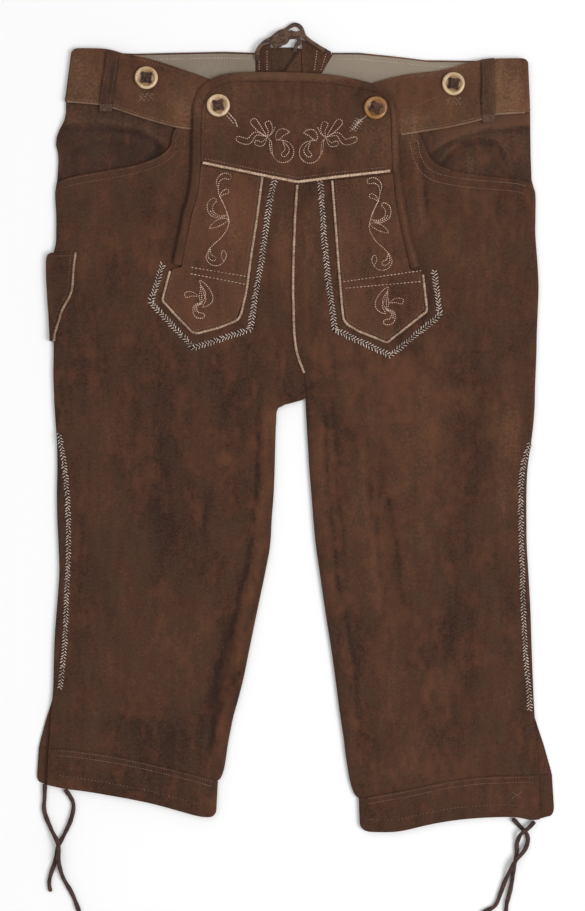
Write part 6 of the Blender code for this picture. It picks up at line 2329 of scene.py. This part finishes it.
@dataclass(frozen=True)
class Notch:
    """The notch at the centre of the back, with its gusset, facings and lacing.

    Attributes:
        lace: Route of the lace through the knot and back in at both ends.
        lace_loop: Route of the knot's free loop.
        stitched: Where along Y the stitches of its facings start and end.
    """

    lace = ((-37.5, 377, 5.9), (-38.6, 385, 5.8), (-33, 393.6, 5.6), (-23.5, 399.6, 3.4),
            (-16.2, 405.6, 2.1), (-10.6, 407.6, 2), (-5, 411.5, 2), (0, 413.2, 2),
            (4.9, 411, 2), (7.6, 405.4, 2.1), (9.6, 400.6, 3), (14.5, 396, 5.4),
            (21.7, 391.2, 5.9), (35, 383.6, 5.9))
    lace_loop = ((-22, 391.5, 5.9), (-14, 397, 2.6), (-5.5, 400.2, 2), (1.6, 400.6, 2),
                 (3.8, 396.5, 2), (0.5, 391.5, 3.9), (-0.5, 386, 3.9))

    stitched = (368.0, 386.0)

    @staticmethod
    def facing_z(x: Array, y: Array) -> Array:
        """Outer surface of the notch's facings."""
        return UNDER_TOP + 0.25 * np.sin(y / 5.0 + x / 9.0) + 0.2

    def build(self) -> None:
        """Build the notch."""
        plan = coons(((-39.2, 341.0), (11.5, 341.0)), ((-26.0, 390.0), (-4.0, 390.5), (16.0, 388.0)),
                     ((-39.2, 341.0), (-39.2, 372.0), (-26.0, 390.0)),
                     ((11.5, 341.0), (20.5, 357.0), (16.0, 388.0)), 34, 34)
        leather("notch_gusset", "gusset", (laid(plan, gusset_z, LEATHER),), Finish.DARK, tone=0.75,
                own=gusset_wear)
        right = coons(((-39.5, 359.0), (-25.0, 359.0)), ((-33.5, 392.0), (-25.0, 395.0)),
                      ((-39.5, 359.0), (-39.5, 385.0), (-33.5, 392.0)),
                      ((-25.0, 359.0), (-25.0, 395.0)), 9, 20)
        left = coons(((7.6, 359.0), (21.5, 359.0)),
                     ((6.4, 398.4), (13.0, 395.6), (20.5, 392.0), (35.6, 384.0)),
                     ((7.6, 359.0), (6.0, 380.0), (6.4, 398.4)),
                     ((21.5, 359.0), (31.0, 371.0), (35.6, 384.0)), 14, 22)
        sewing = Sewing("notch_stitches", Finish.SILK, 70)
        for word, plan, rows in (("right", right, ((-36.5, -36.5), (-28.5, -28.5))),
                                 ("left", left, ((19.0, 21.4), (25.6, 31.6)))):
            leather(f"notch_edge_{word}", f"notch_facing_{word}", (laid(plan, self.facing_z, LEATHER),),
                    Finish.SUEDE, ["gusset"])
            for row in rows:
                sewing.run(list(zip(row, self.stitched)), self.facing_z, TACK_DOWN)
        sewing.build()
        lace("laced_end", "back_lace", self.lace, 1.8, "object", Finish.LACE)
        lace("laced_loop", "back_lace_loop", self.lace_loop, 1.8, "object", Finish.LACE)
        self.build_knot()
        self.build_eyelet()

    @staticmethod
    def build_knot() -> None:
        """The knot where the lace is tied, above the gusset."""
        turns = (((-22.5, 394, 3.4), (-19, 399.5, 4.2), (-12, 402, 4.4), (-6.5, 401, 3.6)),
                 ((-22.5, 390.5, 3.6), (-16.5, 393.5, 4.8), (-11.5, 398.5, 4.8), (-9, 403, 3.8)),
                 ((-25, 394.5, 4.2), (-20, 400.5, 5.2), (-12, 404, 5.4), (-4, 403, 4.6)),
                 ((-24, 398.5, 5), (-17, 396.5, 6.6), (-11, 400, 7.2), (-7, 406, 6.2)),
                 ((-19.5, 404.5, 4.4), (-16, 399.5, 6.8), (-14.5, 394.5, 5.4), (-17, 391.6, 4)),
                 ((-12, 407, 4.6), (-8.5, 401.5, 6.6), (-9.5, 396.5, 5.4), (-13.5, 393.8, 4)),
                 ((-6, 405.5, 4.2), (0, 403, 5), (5.5, 403.5, 4.6), (9, 400, 4.2)))
        paths = [curved(turn, 1.2) for turn in turns]
        meshes = [swept(path, oval(2.9, 2.0, 14, 0.85),
                        swell=1.0 - 0.35 * np.linspace(-1.0, 1.0, len(path)) ** 4) for path in paths]
        trim("lace_knot", joined(meshes), Finish.LACE)

    @staticmethod
    def build_eyelet() -> None:
        """A small brass eyelet for the lace, beside the notch."""
        angle = np.linspace(0.0, 2.0 * np.pi, 25)
        path = points_of(27.0 + 1.5 * np.cos(angle), 387.2 + 1.5 * np.sin(angle), 4.3)
        item = put_mesh("brass_eyelet", *swept(path, oval(0.6, 0.6, 10)), brass(), 70.0)


def brass() -> bpy.types.Material:
    """Dull brass."""
    shader = Shader("dull_brass")
    worn = shader.noise(900.0, 3.0)
    colour = shader.ramp(shader.maths('ADD', worn, 0.5),
                         ((0.3, linear(112, 88, 40)), (0.8, linear(168, 138, 70))))
    shader.set(Base_Color=colour, Metallic=0.8, Roughness=0.45)
    return shader.material


def lace(name: str, node: str, route: Line, radius: float, far_end: str, finish: Finish) -> None:
    """A free leather cord.

    Args:
        name: The piece's name.
        node: The solid it stands for.
        route: Its centreline from where it leaves the garment.
        radius: Half its thickness.
        far_end: What is at its end: "bare", or "object" where it goes back in.
        finish: Its leather.
    """
    path = curved(route, 1.8)
    run = run_of(path)
    swell = 1.0 + 0.08 * np.sin(run / 4.1 + np.sin(run / 9.7)) + 0.04 * np.sin(run / 1.7)
    narrowest, taper = 0.7, 6.0
    tip = np.clip(narrowest + (run[-1] - run) / taper, narrowest, 1.0) if far_end == "bare" else 1.0
    profile = oval(radius * 1.12, radius * 0.84, 14, 0.8)
    item = trim(name, swept(path, profile, swell=swell * tip), finish, node=node)
    log.info("%s: %.0f mm long", name, run[-1])


@dataclass(frozen=True)
class Ties:
    """The two pairs of knee ties."""

    radius: float = 1.9

    routes = {
        "tie_right_outer": ((-251, -347.7, 2.6), (-251.4, -361, 2.1), (-251.6, -375, 2),
                            (-245.1, -391.7, 3.2), (-238.6, -404, 6.2), (-236.6, -413, 6.4),
                            (-237, -424, 6.2), (-233, -440.9, 2.6), (-223.8, -457.6, 2.1),
                            (-217.3, -474, 2.1), (-214.5, -483, 2.1)),
        "tie_right_inner": ((-230.6, -353, 3), (-223.6, -364, 2.1), (-222.6, -373, 2),
                            (-226, -386, 2), (-232.6, -400, 2), (-238.2, -411, 2),
                            (-240.6, -424.5, 2), (-244.9, -437.2, 2), (-246.8, -446.5, 2),
                            (-245.5, -455.4, 2)),
        "tie_left_outer": ((239.2, -385.3, 3), (232.6, -391.6, 5.8), (225.4, -397.3, 6.2),
                           (222, -406.5, 2.3), (221.6, -416.5, 2), (220.4, -424, 2),
                           (218.3, -434.9, 2), (216.6, -447.4, 2), (213.7, -460, 2),
                           (211.6, -468.3, 2), (210.6, -481, 2)),
        "tie_left_inner": ((217.9, -382.4, 3), (225.2, -390.4, 2), (231.4, -397.2, 2),
                           (232.8, -405, 2), (228.9, -414, 4.6), (221.2, -422.6, 6.1),
                           (215.2, -433.2, 5.6), (210.6, -443.3, 2.3), (206, -455.8, 2),
                           (200.2, -469.2, 2), (190, -475.5, 2), (182, -480.5, 2)),
    }

    def build(self) -> None:
        """Build the ties."""
        for name, route in self.routes.items():
            lace(f"knee_{name}", name, route, self.radius, "bare", Finish.TIE)


@dataclass(frozen=True)
class KnifePocket:
    """The knife pocket, which rolls over the right side seam.

    Attributes:
        sections: Its sections, each (y, outer x, piped front x).
        wall: Thickness of its leather.
        widest_turn: Radius of its roll.
        tuck: How far in its outer side ends.
        foot: How high above the ground it ends.
        rim: The row of stitches below its upper edge.
    """

    sections: Line = ((184.4, -245.6, -221.6), (182.6, -248.5, -221.7), (179, -249.8, -222.2),
                      (172, -250.1, -223.2), (163, -250, -224), (154, -249.7, -224.5),
                      (146, -249.2, -225.7), (139, -248.8, -228.4), (127, -248, -235),
                      (116, -247.3, -238.5), (104, -246.7, -242.2), (96, -246.2, -243.2))
    wall: float = LEATHER
    widest_turn: float = 4.0
    tuck: float = 0.3
    foot: float = 0.5
    rim: Line = ((-246.0, 181.0), (-225.5, 181.0))

    def build(self) -> None:
        """Build the pocket and its piping."""
        rows = []
        angle = np.radians(np.linspace(80.0, 0.0, 8))
        for y, outer_x, front_x in curved(self.sections, 3.0):
            turn = min(self.widest_turn, (front_x - outer_x) * 0.55)
            flat = np.linspace(front_x, outer_x + turn, 12)
            top = pocket_z(flat, np.full(len(flat), y))
            row = []
            for deep, tucked in ((0.0, self.tuck), (self.wall, self.wall)):
                x = [flat, outer_x + deep + (turn - deep) * (1.0 - np.cos(angle)), [outer_x + tucked]]
                z = [top - deep, SEAM_Z + (top[-1] - deep - SEAM_Z) * np.sin(angle), [self.foot]]
                row.append(points_of(np.concatenate(x), y, np.concatenate(z)))
            rows.append(row)
        grid = stacked(rows)
        leather("side_pocket", "knife_pocket", (grid,), Finish.SUEDE, ["front_right"], tone=-0.4)
        edge = [(front_x + PIPING_RADIUS + SEAM_GAP, y) for y, _, front_x in self.sections]
        piping("pocket_piping", "piping_knife", edge, front_z, PIPING_RADIUS, Finish.DIM_PIPING)
        sewing = Sewing("side_pocket_stitches", Finish.BROWN_THREAD, 80)
        sewing.run([(front_x - 2.6, y) for y, _, front_x in self.sections[:-2]], pocket_z, SHALLOW)
        sewing.run(self.rim, pocket_z, SHALLOW)
        sewing.build()


@dataclass(frozen=True)
class Button:
    """A dished horn button on a knotted thong.

    Attributes:
        word: Its name.
        x, y: Its middle.
        base: What it lies on.
        pale, mid, deep, shade: Colours of its horn, shade being the painted shade of its upper half.
        turn: Degrees that its knot is turned.
        slot: Handed to its horn, which does not use it.
    """

    word: str
    x: float
    y: float
    base: float
    pale: Point
    mid: Point
    deep: Point
    shade: Point
    turn: float
    slot: str
    profile = ((0.0, 1.8), (3.0, 1.78), (5.6, 1.85), (6.7, 2.0), (7.3, 2.35), (7.7, 2.9), (8.0, 3.1),
               (8.35, 3.12), (8.6, 3.3), (8.9, 3.72), (9.3, 3.92), (9.9, 3.95), (10.5, 3.7), (11.0, 3.2),
               (11.35, 2.5), (11.5, 1.9), (11.4, 1.3), (10.9, 0.8), (9.6, 0.3), (8.0, 0.0), (0.0, 0.0))

    def build(self) -> None:
        """Build the button and its thong."""
        steps = 72
        puff = BIB_PUFF if self.base == FLAP_TOP else 0.0
        level = self.base + SEAM_GAP + float(lift(self.x, self.y)) + puff
        rings = np.array(self.profile[1:-1])
        angle = np.linspace(0.0, 2.0 * np.pi, steps, endpoint=False)
        wobble = 1.0 + 0.012 * np.sin(2.0 * angle + self.turn) + 0.008 * np.sin(3.0 * angle)
        radius = rings[:, :1] * wobble
        points = points_of(self.x + radius * np.cos(angle), self.y + radius * np.sin(angle),
                           level + rings[:, 1:]).reshape(-1, 3)
        faces = np.roll(ring_quads(len(rings), steps)[:, ::-1], 1, axis=1).tolist()
        top, low = len(points), len(points) + 1
        first, last = list(range(steps)), list(range(top - steps, top))
        faces += [[top, a, b] for a, b in zip(first, first[1:] + first[:1])]
        faces += [[low, b, a] for a, b in zip(last, last[1:] + last[:1])]
        middles = [(self.x, self.y, level + high) for high in (self.profile[0][1], 0.0)]
        points = np.concatenate([points, middles])
        horn = Horn(f"horn_{self.word}", self.slot, self.pale, self.mid, self.deep, self.shade,
                    (self.x * MM, self.y * MM, level * MM), 0.0085)
        item = put_mesh(f"horn_button_{self.word}", points, faces, horn.material(), 55.0)
        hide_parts(f"button_{self.word}")
        self.build_thong(level + self.profile[0][1] + SEAM_GAP)

    def build_thong(self, floor: float) -> None:
        """Two crossed strips of leather with a lump where they cross.

        Args:
            floor: What they lie on.
        """
        share = np.linspace(-1.0, 1.0, 19)
        meshes = []
        for turn, rise, long, wide in ((self.turn, 0.5, 7.0, 2.5), (self.turn + 90.0, 1.6, 6.8, 2.4),
                                       (self.turn + 45.0, 0.1, 5.0, 2.0), (self.turn - 45.0, 0.15, 5.0, 2.0)):
            angle = math.radians(turn)
            arch = rise * np.cos(share * np.pi / 2) ** 0.8
            path = points_of(self.x + share * long * math.cos(angle),
                             self.y + share * long * math.sin(angle), floor + 0.75 + arch)
            meshes.append(swept(path, oval(wide, 0.8, 14, 0.8), swell=1.0 - 0.45 * np.abs(share) ** 3))
        trim(f"knot_{self.word}", joined(meshes), Finish.THONG, 60.0, f"thong_{self.word}")


CREAM = (linear(214, 186, 150), linear(160, 124, 84), linear(112, 80, 50))
OLIVE_CREAM = (*CREAM, linear(156, 128, 66))
BROWN_CREAM = (linear(212, 184, 146), linear(146, 108, 70), linear(88, 56, 34), linear(176, 144, 104))
AMBER = (linear(158, 112, 62), linear(122, 78, 38), linear(76, 44, 24), linear(150, 104, 50))
BUTTONS = (
    Button("band_right", -149.0, 359.0, BAND_TOP, *OLIVE_CREAM, 40.0, "horn_cream"),
    Button("flap_right", -77.0, 331.0, FLAP_TOP, *CREAM, linear(196, 168, 130), 52.0, "horn_cream"),
    Button("flap_left", 80.0, 328.6, FLAP_TOP, *AMBER, 20.0, "horn_amber"),
    Button("band_left", 157.8, 353.0, BAND_TOP, *BROWN_CREAM, 36.0, "horn_cream"),
)


@dataclass(frozen=True)
class Studio:
    """A pale floor, soft light and a camera that looks straight down.

    Attributes:
        distance: From the camera to the garment's top.
        lens, sensor: Focal length, and width of the film.
        reach: How far the camera sees, in metres.
        look_x, look_y: What it looks at.
        glow: Strength of the light from all round.
        lamps: Each lamp's name, place and size in metres, and power in watts.
        half_floor, floor_level: Half the floor's side, and how high it lies, in metres.
    """

    distance: float = 2151.0
    lens: float = 85.0
    sensor: float = 36.0
    reach: float = 20.0
    look_x: float = -3.0
    look_y: float = -18.5
    glow: float = 0.52
    lamps: tuple = (("key", (2.7, -0.9, 3.4), 2.2, 118.0), ("fill", (-1.6, 1.2, 3.0), 3.0, 20.0))
    half_floor: float = 4.0
    floor_level: float = -0.0003

    def build(self) -> None:
        """Set up the camera, the floor and the light."""
        scene = bpy.context.scene
        camera = bpy.data.cameras.new("camera")
        camera.lens = self.lens
        camera.sensor_fit = 'AUTO'
        camera.sensor_width = self.sensor
        camera.clip_end = self.reach
        holder = bpy.data.objects.new("camera", camera)
        holder.location = (self.look_x * MM, self.look_y * MM, (self.distance + BAND_TOP) * MM)
        scene.collection.objects.link(holder)
        scene.camera = holder
        floor = self.floor()
        lights = [self.light(*lamp) for lamp in self.lamps]
        world = bpy.data.worlds.new("studio")
        world.use_nodes = True
        background = world.node_tree.nodes["Background"].inputs
        background["Color"].default_value = (1.0, 1.0, 1.0, 1.0)
        background["Strength"].default_value = self.glow
        scene.world = world
        scene.view_settings.view_transform = 'Standard'

    def floor(self) -> bpy.types.Object:
        """A plain pale floor, just below the garment."""
        corners = [(x * self.half_floor, y * self.half_floor, self.floor_level)
                   for x, y in ((-1, -1), (1, -1), (1, 1), (-1, 1))]
        data = bpy.data.meshes.new("floor")
        data.from_pydata(corners, [], [(0, 1, 2, 3)])
        material = bpy.data.materials.new("floor")
        material.use_nodes = True
        surface = material.node_tree.nodes["Principled BSDF"]
        surface.inputs["Base Color"].default_value = (0.96, 0.96, 0.96, 1.0)
        surface.inputs["Roughness"].default_value = 0.9
        surface.inputs["Specular IOR Level"].default_value = 0.1
        data.materials.append(material)
        item = bpy.data.objects.new("floor", data)
        bpy.context.scene.collection.objects.link(item)
        return item

    @staticmethod
    def light(name: str, place: Point, size: float, power: float) -> bpy.types.Object:
        """A large soft light that is turned to the garment.

        Args:
            name: Its name.
            place: Where it hangs, in metres.
            size: Its side, in metres.
            power: In watts.

        Returns:
            The light.
        """
        lamp = bpy.data.lights.new(name, 'AREA')
        lamp.shape = 'SQUARE'
        lamp.size = size
        lamp.energy = power
        item = bpy.data.objects.new(name, lamp)
        item.location = place
        item.rotation_euler = (-Vector(place)).to_track_quat('-Z', 'Y').to_euler()
        bpy.context.scene.collection.objects.link(item)
        return item


SIDE_BRAIDS = (
    ((-236.6, 3), (-234.4, -10), (-231.3, -29), (-228.4, -60), (-227.2, -92), (-227.6, -125),
     (-229.6, -175), (-230.8, -203), (-232.8, -228), (-235.6, -250)),
    ((234, -7), (230.4, -18), (226.6, -35), (225.2, -62), (225.6, -95), (226.6, -130),
     (227.8, -172), (229.6, -210), (232.6, -245), (234.4, -272)),
)


def main() -> None:
    """Build the studio, the cords and then every other piece."""
    Studio().build()
    Ties().build()
    Notch().build()
    for waist, braid in zip(WAISTS, SIDE_BRAIDS):
        LegPanels(waist.pattern, braid).build()
        Cuff(waist.pattern).build()
        waist.build()
    DropFront().build()
    KnifePocket().build()
    for button in BUTTONS:
        button.build()


if __name__ == "__main__":
    logging.basicConfig(level=logging.INFO, format="%(message)s")
    main()
